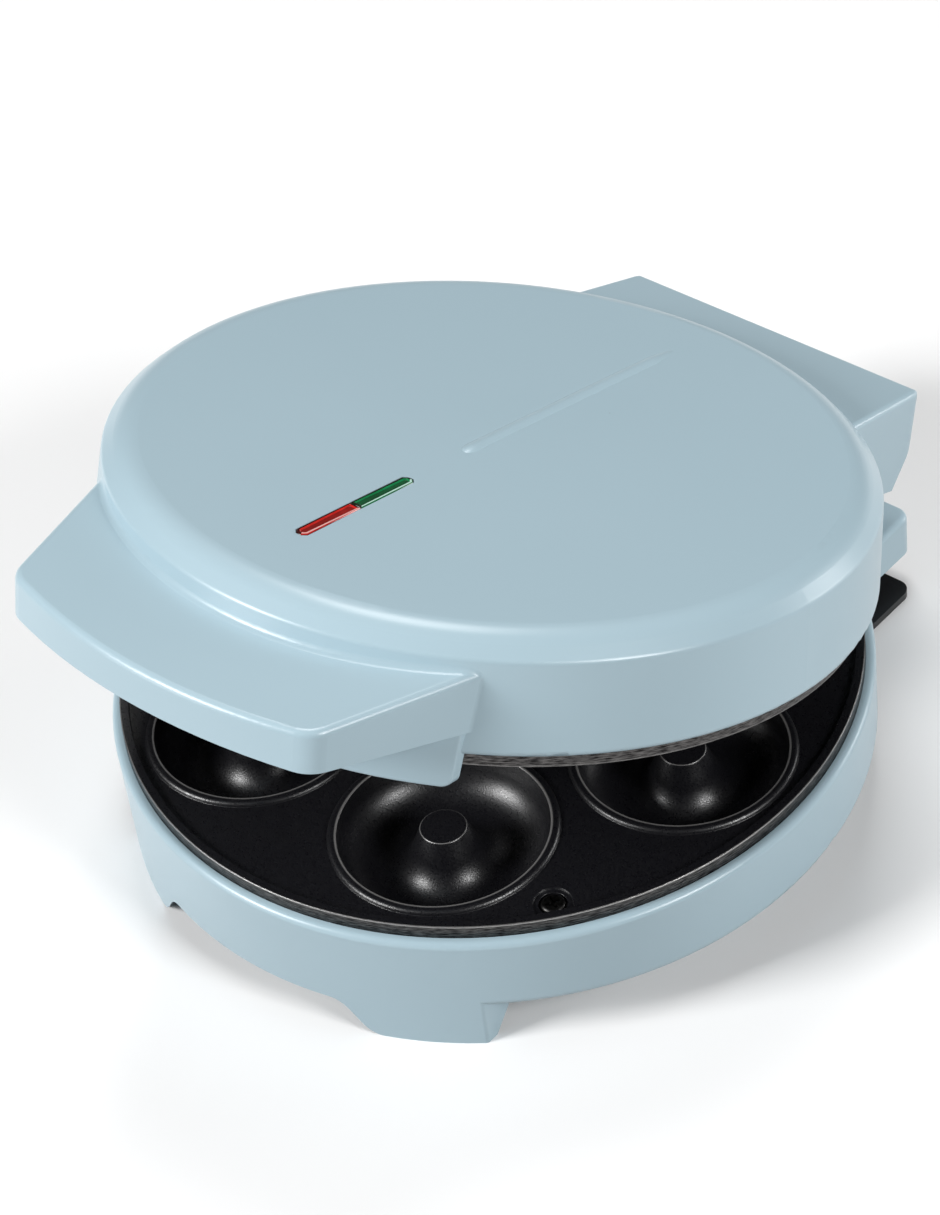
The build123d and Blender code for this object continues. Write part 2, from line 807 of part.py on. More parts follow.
# A side view of the handle, lowered from its top by a given skin
def draw_handle_side(low, skin):
    far_y = -handle_reach - wall
    near_y = -body_radius / 2
    with BuildLine() as outline:
        Polyline(
            (near_y, low),
            (far_y, low),
            (far_y, lid_rim_z + handle_top(far_y) - skin),
            (near_y, lid_rim_z + handle_top(near_y) - skin),
            close=True,
        )
    make_face(outline.edges())


handle_low_z = lid_rim_z + handle_bottom
with BuildPart() as handle_form:
    with BuildSketch(Plane.XY.offset(handle_low_z)):
        draw_handle_plan(0)
    extrude(amount=lid_wall_height)
    with BuildSketch(Plane.YZ):
        draw_handle_side(handle_low_z, 0)
    extrude(amount=body_radius, both=True, mode=Mode.INTERSECT)
    fillet(handle_form.faces().sort_by(Axis.Z)[-1].edges(), handle_edge_round)

with BuildPart() as handle_hollow:
    with BuildSketch(Plane.XY.offset(handle_low_z)):
        draw_handle_plan(wall)
    extrude(amount=lid_wall_height)
    with BuildSketch(Plane.YZ):
        draw_handle_side(handle_low_z, wall)
    extrude(amount=body_radius, both=True, mode=Mode.INTERSECT)
    with BuildSketch(Plane.XY.offset(handle_low_z)):
        Circle(body_radius)
    extrude(amount=lid_wall_height, mode=Mode.SUBTRACT)

with BuildPart() as skirt:
    skirt_low_z = lid_rim_z - skirt_drop
    with BuildSketch(Plane.XY.offset(skirt_low_z)):
        draw_handle_plan(0)
    extrude(amount=skirt_drop + handle_bottom + wall)
    with BuildSketch(Plane.XY.offset(skirt_low_z)):
        Circle(skirt_radius)
        Circle(skirt_radius - skirt_thick, mode=Mode.SUBTRACT)
    extrude(amount=skirt_drop + handle_bottom + wall, mode=Mode.INTERSECT)
    skirt_top_half = handle_root_half - cover_clearance
    skirt_low_half = skirt_top_half - skirt_taper
    with BuildSketch(Plane.XZ):
        with BuildLine():
            FilletPolyline(
                (-skirt_top_half, handle_low_z + wall),
                (-skirt_low_half, skirt_low_z),
                (skirt_low_half, skirt_low_z),
                (skirt_top_half, handle_low_z + wall),
                radius=skirt_corner,
            )
            Line((skirt_top_half, handle_low_z + wall), (-skirt_top_half, handle_low_z + wall))
        make_face()
    extrude(amount=2 * body_radius, mode=Mode.INTERSECT)
    fillet(skirt.faces().sort_by(Axis.Y)[0].edges().sort_by(Axis.Z)[:-1], skirt_edge_round)


# Plan of the lid's hinge block, tapering to the back
def draw_lid_block_plan(inset):
    back_half = lid_block_half - inset
    root_half = lid_block_root_half - inset
    with BuildLine() as outline:
        Polyline(
            (root_half, lid_block_root_y),
            (back_half, lid_block_back_y - inset),
            (-back_half, lid_block_back_y - inset),
            (-root_half, lid_block_root_y),
            close=True,
        )
    plan = make_face(outline.edges())
    fillet(plan.vertices().group_by(Axis.Y)[-1], block_corner - inset / 2)


lid_block_waist_z = lid_rim_z + lid_block_waist
with BuildPart() as lid_block_form:
    with BuildSketch(Plane.XY.offset(lid_rim_z - lid_block_tip_drop)):
        draw_lid_block_plan(0)
    extrude(amount=lid_wall_height + lid_block_tip_drop)
    with BuildSketch(Plane.YZ):
        with BuildLine():
            Polyline(
                (lid_block_root_y, lid_rim_z),
                (lid_block_root_y, lid_rim_z + lid_block_root_top),
                (lid_block_back_y - lid_block_lean, lid_rim_z + lid_block_top),
                (lid_block_back_y, lid_block_waist_z),
                (lid_block_tip_y, lid_rim_z - lid_block_tip_drop),
                close=True,
            )
        make_face()
    extrude(amount=body_radius, both=True, mode=Mode.INTERSECT)
    fillet(lid_block_form.faces().sort_by(Axis.Z)[-1].edges(), block_edge_round)

# Space inside the lid's hinge block, open below, behind the lid's wall
with BuildPart() as lid_block_hollow:
    with BuildSketch(Plane.YZ):
        with BuildLine():
            Polyline(
                (lid_block_root_y, lid_rim_z - skirt_drop),
                (lid_block_root_y, lid_rim_z + lid_block_root_top - wall),
                (lid_block_back_y - lid_block_lean - wall, lid_rim_z + lid_block_top - wall),
                (lid_block_back_y - wall, lid_block_waist_z),
                (lid_block_back_y + wall, lid_block_waist_z),
                (lid_block_back_y + wall, lid_rim_z - skirt_drop),
                close=True,
            )
        make_face()
    extrude(amount=lid_block_half - wall, both=True)
    with BuildSketch(Plane.XY.offset(lid_rim_z - skirt_drop)):
        Circle(body_radius)
    extrude(amount=2 * lid_wall_height, mode=Mode.SUBTRACT)


# Rib: a tube sunk into the dome, blunt in front and fading out at the back
rib_axis_z = lid_top_z + rib_height - rib_curve
rib_back_axis_z = rib_axis_z - dome_rise * rib_back_y / bevel_radius
lid_rib = lay_tube(
    [
        (0, rib_front_y, rib_axis_z - rib_curve),
        (0, rib_front_y + rib_curve, rib_axis_z),
        (0, rib_back_y - rib_fade, rib_back_axis_z),
        (0, rib_back_y + rib_fade, rib_back_axis_z - 2 * rib_height),
    ],
    rib_curve,
    2 * rib_curve,
)

lens_length = (lens_back_y - lens_front_y) / 2
lens_mid_y = (lens_front_y + lens_back_y) / 2
lens_top_z = lid_bevel_z + dome_rise / 2 + lens_rise
lens_low_z = lens_top_z - lens_depth
lid_seat_z = 2 * parting_z - seat_z
lid_shield_z = 2 * parting_z - shield_z
holder_top_z = lens_low_z
holder_places = [(0, lens_front_y - holder_tab / 2), (0, lens_back_y + holder_tab / 2)]
handle_screw_places = [(side * handle_front_half / 2, -handle_reach + 5 * wall) for side in (-1, 1)]
handle_post_low_z = handle_low_z + handle_cover_thick
hinge_cover_top_z = lid_block_waist_z
lid_element_z = 2 * parting_z - element_z
lead_x = sleeve_meet_x - sleeve_gap
lead_turn_x = lead_x - 2 * sleeve_bend
hinge_cover_screw_y = lid_block_back_y - hinge_cover_screw_inset
hinge_cover_screw_places = [(side * hinge_cover_screw_x, hinge_cover_screw_y) for side in (-1, 1)]

# Lid shell: wall, bevel, dome, rib, handle, skirt and hinge block in one moulding
with BuildPart() as lid_shell:
    with BuildSketch(Plane.XZ):
        with BuildLine():
            FilletPolyline(
                (0, lid_rim_z),
                (body_radius, lid_rim_z),
                (lid_wall_radius, lid_wall_z),
                (bevel_radius, lid_bevel_z),
                (0, lid_top_z),
                radius=[rim_round, bevel_outer_round, bevel_inner_round],
            )
            Line((0, lid_top_z), (0, lid_rim_z))
        make_face()
    revolve(axis=Axis.Z)
    add(handle_form.part)
    fillet(lid_shell.edges().filter_by(GeomType.HYPERBOLA).group_by(Axis.Y)[0], handle_root_round)
    add(lid_rib)
    add(skirt.part)
    add(lid_block_form.part)
    add(handle_hollow.part, mode=Mode.SUBTRACT)
    add(lid_block_hollow.part, mode=Mode.SUBTRACT)
    # Hollow of the lid
    with BuildSketch(Plane.XZ):
        with BuildLine():
            Polyline(
                (0, lid_rim_z - skirt_drop),
                (inner_radius, lid_rim_z - skirt_drop),
                (inner_radius, lid_rim_z + 2 * wall),
                (lid_wall_radius - wall, lid_wall_z - wall / 2),
                (bevel_radius - wall / 2, lid_bevel_z - wall),
                (0, lid_top_z - wall),
                close=True,
            )
        make_face()
    revolve(axis=Axis.Z, mode=Mode.SUBTRACT)
    # Pillars for the plate screws and pegs for the heat shield
    with BuildSketch(Plane.XY.offset(lid_seat_z)):
        with Locations(*plate_screw_places):
            Circle(pillar_radius)
    extrude(amount=lid_wall_z + wall - lid_seat_z)
    with BuildSketch(Plane.XY.offset(lid_seat_z)):
        with Locations(*plate_screw_places):
            Circle(screw_radius + hole_clearance)
    extrude(amount=screw_length, mode=Mode.SUBTRACT)
    with BuildSketch(Plane.XY.offset(lid_shield_z)):
        with Locations(*peg_places):
            Circle(peg_radius)
    extrude(amount=lid_bevel_z - wall / 2 - lid_shield_z)
    with BuildSketch(Plane.XY.offset(lid_shield_z)):
        with Locations(*peg_places):
            Circle(pip_radius)
    extrude(amount=-2 * shield_thick)
    # Slot for the indicator lenses and posts for the lamp holder
    with BuildSketch(Plane.XY.offset(lid_bevel_z - 2 * wall)):
        with Locations((0, lens_mid_y)):
            Rectangle(2 * lens_half, 2 * lens_length)
        chamfer(vertices(), lens_chamfer)
    extrude(amount=4 * wall, mode=Mode.SUBTRACT)
    with BuildSketch(Plane.XY.offset(holder_top_z)):
        with Locations(*holder_places):
            Circle(pillar_radius)
    extrude(amount=lid_bevel_z - wall / 2 - holder_top_z)
    with BuildSketch(Plane.XY.offset(holder_top_z)):
        with Locations(*holder_places):
            Circle(screw_radius + hole_clearance)
    extrude(amount=lid_bevel_z - wall / 2 - holder_top_z, mode=Mode.SUBTRACT)
    # Posts for the handle's underside
    with BuildSketch(Plane.XY.offset(handle_post_low_z)):
        with Locations(*handle_screw_places):
            Circle(pillar_radius)
    extrude(amount=handle_front_top - handle_bottom - handle_cover_thick - wall / 2)
    with BuildSketch(Plane.XY.offset(handle_post_low_z)):
        with Locations(*handle_screw_places):
            Circle(screw_radius + hole_clearance)
    extrude(amount=handle_front_top - handle_bottom - handle_cover_thick - wall, mode=Mode.SUBTRACT)
    # Hinge lugs beside the ears, and posts for the hinge cover
    for side in (-1, 1):
        with BuildSketch(Plane.YZ.offset(side * (lug_inner_x + lug_outer_x) / 2)):
            with Locations((hinge_y, hinge_z)):
                Rectangle(
                    2 * lug_radius,
                    lid_rim_z + lid_block_top - wall / 2 - hinge_z,
                    align=(Align.CENTER, Align.MIN),
                )
                Circle(lug_radius)
                Circle(pin_radius + pin_clearance, mode=Mode.SUBTRACT)
        extrude(amount=lug_thick / 2, both=True)
        with BuildSketch(Plane.YZ.offset(side * (lug_outer_x + lid_block_half - wall) / 2)):
            with Locations((hinge_y, lid_rim_z + lid_block_top - wall / 2)):
                Rectangle(2 * lug_radius, lid_block_top / 2, align=(Align.CENTER, Align.MAX))
        extrude(amount=(lid_block_half - wall - lug_outer_x + wall) / 2, both=True)
    with BuildSketch(Plane.XY.offset(hinge_cover_top_z)):
        with Locations(*hinge_cover_screw_places):
            Circle(pillar_radius)
    extrude(amount=lid_block_top - lid_block_waist - wall / 2)
    with BuildSketch(Plane.XY.offset(hinge_cover_top_z)):
        with Locations(*hinge_cover_screw_places):
            Circle(screw_radius + hole_clearance)
    extrude(amount=lid_block_top - lid_block_waist - 2 * wall, mode=Mode.SUBTRACT)
    # Window for the lead in the round wall
    with BuildSketch(Plane.XZ):
        with Locations((lead_turn_x, lid_element_z)):
            Rectangle(4 * sleeve_radius, 4 * sleeve_radius)
    extrude(amount=-(body_radius + wall / 4), mode=Mode.SUBTRACT)
hand_over(lid_shell, "lid_shell", ajar)

# Underside of the handle, set into its hollow
with BuildPart() as handle_underside:
    with BuildSketch(Plane.XY.offset(handle_low_z)):
        draw_handle_plan(wall + cover_clearance)
        Circle(skirt_radius + cover_clearance, mode=Mode.SUBTRACT)
        with Locations(*handle_screw_places):
            Circle(screw_radius + hole_clearance, mode=Mode.SUBTRACT)
    extrude(amount=handle_cover_thick)
    with BuildSketch(Plane.XY.offset(handle_low_z)):
        with Locations(*handle_screw_places):
            Circle(screw_head_radius + 2 * hole_clearance)
    extrude(amount=handle_cover_thick / 2, mode=Mode.SUBTRACT)
hand_over(handle_underside, "handle_underside", ajar)

handle_screw = make_screw(3 * wall)
with BuildPart() as handle_screws:
    handle_screw_z = handle_low_z + handle_cover_thick / 2
    with Locations(*[Location((x, y, handle_screw_z), (180, 0, 0)) for x, y in handle_screw_places]):
        add(handle_screw)
hand_over(handle_screws, "handle_screws", ajar)

# Upper plate, element, clamps, screws and heat shield mirror the lower ones
with BuildPart() as upper_plate:
    mirror(lower_plate.part, about=shut_plane)
hand_over(upper_plate, "upper_cooking_plate", ajar)

with BuildPart() as upper_plate_screws:
    mirror(lower_plate_screws.part, about=shut_plane)
hand_over(upper_plate_screws, "upper_plate_screws", ajar)

with BuildPart() as upper_element:
    mirror(lower_element.part, about=shut_plane)
hand_over(upper_element, "upper_heating_element", ajar)

with BuildPart() as upper_element_clamps:
    mirror(lower_element_clamps.part, about=shut_plane)
hand_over(upper_element_clamps, "upper_element_clamps", ajar)

with BuildPart() as upper_clamp_screws:
    mirror(lower_clamp_screws.part, about=shut_plane)
hand_over(upper_clamp_screws, "upper_clamp_screws", ajar)

with BuildPart() as upper_shield:
    with BuildSketch(Plane.XY.offset(lid_shield_z)):
        Circle(shield_radius)
        with Locations(*peg_places):
            Circle(pip_radius + hole_clearance, mode=Mode.SUBTRACT)
    extrude(amount=-shield_thick)
hand_over(upper_shield, "upper_heat_shield", ajar)

# Thermostat on the back of the upper plate, with two blades for its wires
lid_web_z = 2 * parting_z - plate_under_z
with BuildPart() as thermostat:
    with BuildSketch(Plane.XY.offset(lid_web_z)):
        with Locations((0, fuse_y)):
            Circle(thermostat_radius)
    extrude(amount=thermostat_height)
    with BuildSketch(Plane.XY.offset(lid_web_z + thermostat_height - fuse_strap)):
        with Locations((0, fuse_y)):
            Rectangle(2 * (thermostat_radius + blade_length), 2 * blade_half)
    extrude(amount=fuse_strap)
hand_over(thermostat, "thermostat", ajar)

# Lid's terminal block, on the ends of the upper element's legs
with BuildPart() as lid_terminal_block:
    with BuildSketch(Plane.XZ.offset(-element_end_y)):
        with Locations((0, lid_element_z)):
            Rectangle(2 * terminal_half, terminal_height)
    extrude(amount=-terminal_height)
    chamfer(lid_terminal_block.faces().sort_by(Axis.Y)[-1].edges(), wire_radius / 2)
hand_over(lid_terminal_block, "lid_terminal_block", ajar)

# Lid's end of the lead: from the hinge line up and through the lid's wall
with BuildPart() as lid_lead_sleeve:
    add(
        lay_tube(
            [
                (lead_x, hinge_y, hinge_z),
                (lead_turn_x, hinge_y, hinge_z),
                (lead_turn_x, hinge_y, lid_element_z),
                (lead_turn_x, element_end_y + terminal_height, lid_element_z),
            ],
            sleeve_radius,
            0.8 * sleeve_bend,
        )
    )
hand_over(lid_lead_sleeve, "lid_lead_sleeve", ajar)

# Lid wiring: thermostat and lamps to the lid's terminal block
blade_end_x = thermostat_radius + blade_length
blade_z = lid_web_z + thermostat_height - fuse_strap / 2
lamp_wire_x = lamp_radius + lens_flange_thick
lamp_wire_y = element_end_y + terminal_height / 2
lamp_wire_z = lid_shield_z + wire_radius + lens_rim
with BuildPart() as lid_wiring:
    for side in (-1, 1):
        add(
            lay_tube(
                [
                    (side * blade_end_x, fuse_y, blade_z),
                    (side * wire_side_x, fuse_y, blade_z),
                    (side * wire_side_x, fuse_y, lid_element_z),
                    (side * wire_side_x, element_end_y, lid_element_z),
                ],
                wire_radius,
                0.6 * wire_bend,
            )
        )
        add(
            lay_tube(
                [
                    (side * lamp_wire_x, lamp_wire_y, lid_element_z + terminal_height / 2),
                    (side * lamp_wire_x, lamp_wire_y, lamp_wire_z),
                    (side * lamp_wire_x, lens_back_y, lamp_wire_z),
                ],
                wire_radius,
                wire_bend,
            )
        )
hand_over(lid_wiring, "lid_wiring", ajar)

# Indicator lenses: red in front, green behind, each with a flange under the dome
with BuildPart() as red_lens:
    lens_start_y = lens_front_y + lens_gap
    lens_end_y = lens_mid_y - lens_gap
    with BuildSketch(Plane.XY.offset(lens_low_z)) as lens_plan:
        with Locations((0, lens_start_y)):
            Rectangle(2 * (lens_half - lens_gap), lens_end_y - lens_start_y, align=(Align.CENTER, Align.MIN))
        chamfer(lens_plan.vertices().group_by(Axis.Y)[0], lens_chamfer)
    extrude(amount=lens_depth)
    with BuildSketch(Plane.XY.offset(lens_low_z)):
        with Locations((0, lens_start_y)):
            Rectangle(2 * (lens_half + lens_flange), lens_end_y - lens_start_y, align=(Align.CENTER, Align.MIN))
    extrude(amount=lens_flange_thick)
    with BuildSketch(Plane.XY.offset(lens_top_z)) as tray_plan:
        with Locations((0, lens_start_y + lens_rim)):
            Rectangle(
                2 * (lens_half - lens_gap - lens_rim),
                lens_end_y - lens_start_y - 2 * lens_rim,
                align=(Align.CENTER, Align.MIN),
            )
        chamfer(tray_plan.vertices().group_by(Axis.Y)[0], lens_chamfer - lens_rim / 2)
    extrude(amount=-lens_tray, mode=Mode.SUBTRACT)
hand_over(red_lens, "red_lens", ajar)

with BuildPart() as green_lens:
    mirror(red_lens.part, about=Plane.XZ.offset(-lens_mid_y))
hand_over(green_lens, "green_lens", ajar)

# Lamp holder: an open tray under the lenses with a screw tab at each end
with BuildPart() as lamp_holder:
    with BuildSketch(Plane.XY.offset(holder_top_z)):
        with Locations((0, lens_mid_y)):
            Rectangle(2 * holder_half, 2 * lens_length)
    extrude(amount=-holder_height)
    with BuildSketch(Plane.XY.offset(holder_top_z)):
        with Locations((0, lens_mid_y)):
            Rectangle(2 * (holder_half - holder_wall), 2 * (lens_length - holder_wall))
    extrude(amount=holder_wall - holder_height, mode=Mode.SUBTRACT)
    with BuildSketch(Plane.XY.offset(holder_top_z)):
        with Locations(*holder_places):
            Rectangle(2 * holder_half, holder_tab)
            Circle(screw_radius + hole_clearance, mode=Mode.SUBTRACT)
    extrude(amount=-holder_tab_thick)
hand_over(lamp_holder, "lamp_holder", ajar)

holder_screw = make_screw(holder_tab_thick + 0.8 * wall)
with BuildPart() as lamp_holder_screws:
    holder_screw_z = holder_top_z - holder_tab_thick
    with Locations(*[Location((x, y, holder_screw_z), (180, 0, 0)) for x, y in holder_places]):
        add(holder_screw)
hand_over(lamp_holder_screws, "lamp_holder_screws", ajar)

lamp_z = holder_top_z - holder_height + holder_wall + lamp_radius
with BuildPart() as red_lamp:
    with BuildSketch(Plane.XZ.offset(lens_length / 2 - lens_mid_y)):
        with Locations((0, lamp_z)):
            Circle(lamp_radius)
    extrude(amount=lamp_length / 2, both=True)
    fillet(red_lamp.faces().sort_by(Axis.Y)[0].edges(), lamp_radius / 2)
hand_over(red_lamp, "red_lamp", ajar)

with BuildPart() as green_lamp:
    mirror(red_lamp.part, about=Plane.XZ.offset(-lens_mid_y))
hand_over(green_lamp, "green_lamp", ajar)

# Hinge cover under the lid's hinge block, between the ears
with BuildPart() as hinge_cover:
    with BuildSketch(Plane.XY.offset(hinge_cover_top_z)):
        with Locations((0, hinge_cover_front_y)):
            Rectangle(
                2 * cover_half,
                lid_block_back_y - wall / 2 - hinge_cover_front_y,
                align=(Align.CENTER, Align.MIN),
            )
        with Locations(*hinge_cover_screw_places):
            Circle(screw_radius + hole_clearance, mode=Mode.SUBTRACT)
        with Locations((lead_turn_x, hinge_y)):
            Circle(sleeve_radius + cover_clearance, mode=Mode.SUBTRACT)
    extrude(amount=-hinge_cover_thick)
hand_over(hinge_cover, "hinge_cover", ajar)

hinge_cover_screw = make_screw(3 * wall)
with BuildPart() as hinge_cover_screws:
    hinge_screw_z = hinge_cover_top_z - hinge_cover_thick
    with Locations(*[Location((x, y, hinge_screw_z), (180, 0, 0)) for x, y in hinge_cover_screw_places]):
        add(hinge_cover_screw)
hand_over(hinge_cover_screws, "hinge_cover_screws", ajar)

# Round black caps that cover the pins' ends, inside the hinge block's cheeks
with BuildPart() as hinge_pin_caps:
    for side in (-1, 1):
        with BuildSketch(Plane.YZ.offset(side * (lid_block_half - wall))):
            with Locations((hinge_y, hinge_z)):
                Circle(cap_radius)
        extrude(amount=-side * cap_thick)
hand_over(hinge_pin_caps, "hinge_pin_caps", ajar)
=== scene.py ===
import math

import bmesh
import bpy
from mathutils import Matrix, Vector


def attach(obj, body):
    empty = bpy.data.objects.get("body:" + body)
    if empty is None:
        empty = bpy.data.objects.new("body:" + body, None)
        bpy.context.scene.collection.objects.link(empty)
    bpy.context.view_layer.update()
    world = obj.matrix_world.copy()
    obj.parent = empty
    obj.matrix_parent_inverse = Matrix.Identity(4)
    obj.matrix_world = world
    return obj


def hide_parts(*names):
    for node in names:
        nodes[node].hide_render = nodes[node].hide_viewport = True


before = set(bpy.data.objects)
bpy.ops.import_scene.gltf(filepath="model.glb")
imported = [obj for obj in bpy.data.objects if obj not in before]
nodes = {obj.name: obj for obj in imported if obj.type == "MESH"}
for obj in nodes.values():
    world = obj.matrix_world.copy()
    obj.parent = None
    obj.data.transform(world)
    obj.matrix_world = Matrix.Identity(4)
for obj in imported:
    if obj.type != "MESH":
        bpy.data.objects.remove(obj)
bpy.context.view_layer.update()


# ---- Base housing ----
# The lower cup with its two front feet and the rear hinge block, one injection moulding in
# pastel-blue plastic with a satin gloss. The lower plate and the rear stand screw into it.

def new_finish(name):
    finish = bpy.data.materials.new(name)
    finish.use_nodes = True
    made, links = finish.node_tree.nodes, finish.node_tree.links
    place = put(made, "ShaderNodeTexCoord").outputs["Object"]
    return finish, made, links, made["Principled BSDF"], place


# A node with its settings; those that begin with in_ are the values of its sockets
def put(tree_nodes, kind, **settings):
    node = tree_nodes.new(kind)
    for key, value in settings.items():
        if key.startswith("in_"):
            node.inputs[key[3:].replace("_", " ")].default_value = value
        else:
            setattr(node, key, value)
    return node


def grain_of(tree_nodes, links, place, scale, detail=3.0):
    grain = put(tree_nodes, "ShaderNodeTexNoise", in_Scale=scale, in_Detail=detail)
    links.new(place, grain.inputs["Vector"])
    return grain.outputs["Fac"]


def spread(tree_nodes, links, value, low, high, start=0.3, stop=0.7):
    ramp = put(
        tree_nodes, "ShaderNodeMapRange", interpolation_type="SMOOTHSTEP",
        in_From_Min=start, in_From_Max=stop, in_To_Min=low, in_To_Max=high)
    links.new(value, ramp.inputs["Value"])
    return ramp.outputs["Result"]


def tint(tree_nodes, links, factor, first, second):
    blend = put(tree_nodes, "ShaderNodeMix", data_type="RGBA")
    for socket, shade in (("A", first), ("B", second)):
        if isinstance(shade, tuple):
            blend.inputs[socket].default_value = (*shade, 1)
        else:
            links.new(shade, blend.inputs[socket])
    links.new(factor, blend.inputs["Factor"])
    return blend.outputs["Result"]


def emboss(tree_nodes, links, shader, height, strength, distance=0.0002):
    relief = put(tree_nodes, "ShaderNodeBump", in_Strength=strength, in_Distance=distance)
    links.new(height, relief.inputs["Height"])
    links.new(relief.outputs["Normal"], shader.inputs["Normal"])
    return relief


def dress(finish, *names):
    for name in names:
        mesh = nodes[name].data
        mesh.materials.clear()
        mesh.materials.append(finish)


def moulded_plastic(name, shade, deep_shade, gloss, grain_strength, speck_shade):
    cloud_scale, speck_scale, wear_scale, skin_scale = 14.0, 38.0, 22.0, 900.0
    speck_core, speck_edge = 0.006, 0.014
    finish, made, links, shader, place = new_finish(name)
    cloud = grain_of(made, links, place, cloud_scale)
    body = tint(made, links, cloud, deep_shade, shade)
    # Sparse specks, as every moulding picks up
    cells = put(made, "ShaderNodeTexVoronoi", in_Scale=speck_scale)
    links.new(place, cells.inputs["Vector"])
    speck = spread(made, links, cells.outputs["Distance"], 1.0, 0.0, speck_core, speck_edge)
    links.new(tint(made, links, speck, body, speck_shade), shader.inputs["Base Color"])
    wear = grain_of(made, links, place, wear_scale, 1.0)
    links.new(spread(made, links, wear, *gloss, 0.0, 1.0), shader.inputs["Roughness"])
    skin = grain_of(made, links, place, skin_scale, 2.0)
    emboss(made, links, shader, skin, grain_strength)
    return finish


pastel_plastic = moulded_plastic(
    "pastel_blue_plastic", shade=(0.392, 0.520, 0.585), deep_shade=(0.376, 0.504, 0.568),
    gloss=(0.27, 0.31), grain_strength=0.02, speck_shade=(0.26, 0.32, 0.36))


# A node's mesh with its seams welded; each face carries the normals it had
def copy_of(node):
    weld_distance = 0.000001
    source = nodes[node].data
    copy = source.copy()
    kept = [0.0] * (3 * len(source.loops))
    source.corner_normals.foreach_get("vector", kept)
    copy.attributes.new("kept_normal", "FLOAT_VECTOR", "CORNER").data.foreach_set("vector", kept)
    shaped = bmesh.new()
    shaped.from_mesh(copy)
    bpy.data.meshes.remove(copy)
    bmesh.ops.remove_doubles(shaped, verts=shaped.verts, dist=weld_distance)
    return shaped


# A shaped mesh takes a node's place; faces that carry no normals of their own are shaded smooth
def piece_of(shaped, name, finish, body, node):
    sharp_edge = math.radians(38)
    mesh = bpy.data.meshes.new(name)
    shaped.to_mesh(mesh)
    shaped.free()
    if "custom_normal" in mesh.attributes:
        mesh.attributes.remove(mesh.attributes["custom_normal"])
    mesh.shade_smooth()
    if "kept_normal" in mesh.attributes:
        kept = [0.0] * (3 * len(mesh.loops))
        mesh.attributes["kept_normal"].data.foreach_get("vector", kept)
        mesh.attributes.remove(mesh.attributes["kept_normal"])
        mesh.normals_split_custom_set([kept[i:i + 3] for i in range(0, len(kept), 3)])
    else:
        mesh.set_sharp_from_angle(angle=sharp_edge)
    mesh.materials.clear()
    mesh.materials.append(finish)
    piece = bpy.data.objects.new(name, mesh)
    bpy.context.scene.collection.objects.link(piece)
    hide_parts(node)
    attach(piece, body)


# Points of a profile, as reach and height, on a round from one angle to another in degrees
def arc(centre_r, centre_z, radius, start, stop, steps):
    angles = [math.radians(start + (stop - start) * i / steps) for i in range(steps + 1)]
    return [(centre_r + radius * math.cos(a), centre_z + radius * math.sin(a)) for a in angles]


# The rim is turned from its own profile, so that its rounded edge shines in one clean line
body_axis_y = -0.0055
rim_radius, rim_inner_radius, rim_z, rim_low_z = 0.11199, 0.10903, 0.040, 0.0368
rim_round, inner_round, rim_facets = 0.002, 0.0001, 360
housing_inner_radius, tolerance = 0.1094, 0.00005
rim_profile = [
    (housing_inner_radius, rim_low_z), (rim_inner_radius, rim_low_z),
    *arc(rim_inner_radius + inner_round, rim_z - inner_round, inner_round, 180, 90, 3),
    *arc(rim_radius - rim_round, rim_z - rim_round, rim_round, 90, 0, 12),
]
housing = copy_of("base_housing")


def on_rim(vert):
    reach = math.hypot(vert.co.x, vert.co.y - body_axis_y)
    in_ring = housing_inner_radius - 2 * tolerance < reach < rim_radius + tolerance
    return in_ring and vert.co.z > rim_z - rim_round - tolerance


old_rim = [f for f in housing.faces if all(on_rim(v) for v in f.verts)]
bmesh.ops.delete(housing, geom=old_rim, context="FACES")
rings = []
for step in range(rim_facets):
    turn = 2 * math.pi * step / rim_facets
    rings.append([
        housing.verts.new((r * math.cos(turn), r * math.sin(turn) + body_axis_y, z)) for r, z in rim_profile])
for step in range(rim_facets):
    here, there = rings[step], rings[(step + 1) % rim_facets]
    for row in range(len(rim_profile) - 1):
        housing.faces.new((here[row], here[row + 1], there[row + 1], there[row]))
piece_of(housing, "base_housing_shell", pastel_plastic, "base", "base_housing")


# ---- Cord inlet bush, rear stand and its pads ----
# Black moulded plastic: a snap-in bush in the back wall and the flat stand that also winds the
# cord. Two black rubber pads are pressed into its underside, and two screws hold it to the base.

black_plastic = moulded_plastic(
    "black_plastic", shade=(0.013, 0.013, 0.014), deep_shade=(0.009, 0.009, 0.010),
    gloss=(0.36, 0.46), grain_strength=0.12, speck_shade=(0.05, 0.05, 0.05))
dress(black_plastic, "cord_inlet_bush", "cord_wrap")


def soft_rubber(name):
    finish, made, links, shader, place = new_finish(name)
    crumb_scale = 1600.0
    crumb = grain_of(made, links, place, crumb_scale)
    black = tint(made, links, crumb, (0.010, 0.010, 0.010), (0.024, 0.024, 0.023))
    links.new(black, shader.inputs["Base Color"])
    links.new(spread(made, links, crumb, 0.72, 0.9), shader.inputs["Roughness"])
    emboss(made, links, shader, crumb, 0.3)
    return finish


dress(soft_rubber("pad_rubber"), "rear_foot_pads")


# ---- Heating of the base ----
# A tubular element in a steel sheath, held under the plate by three strips with a screw each,
# over a sheet-metal heat shield. Beside it are a thermal fuse, a terminal block and the wires.

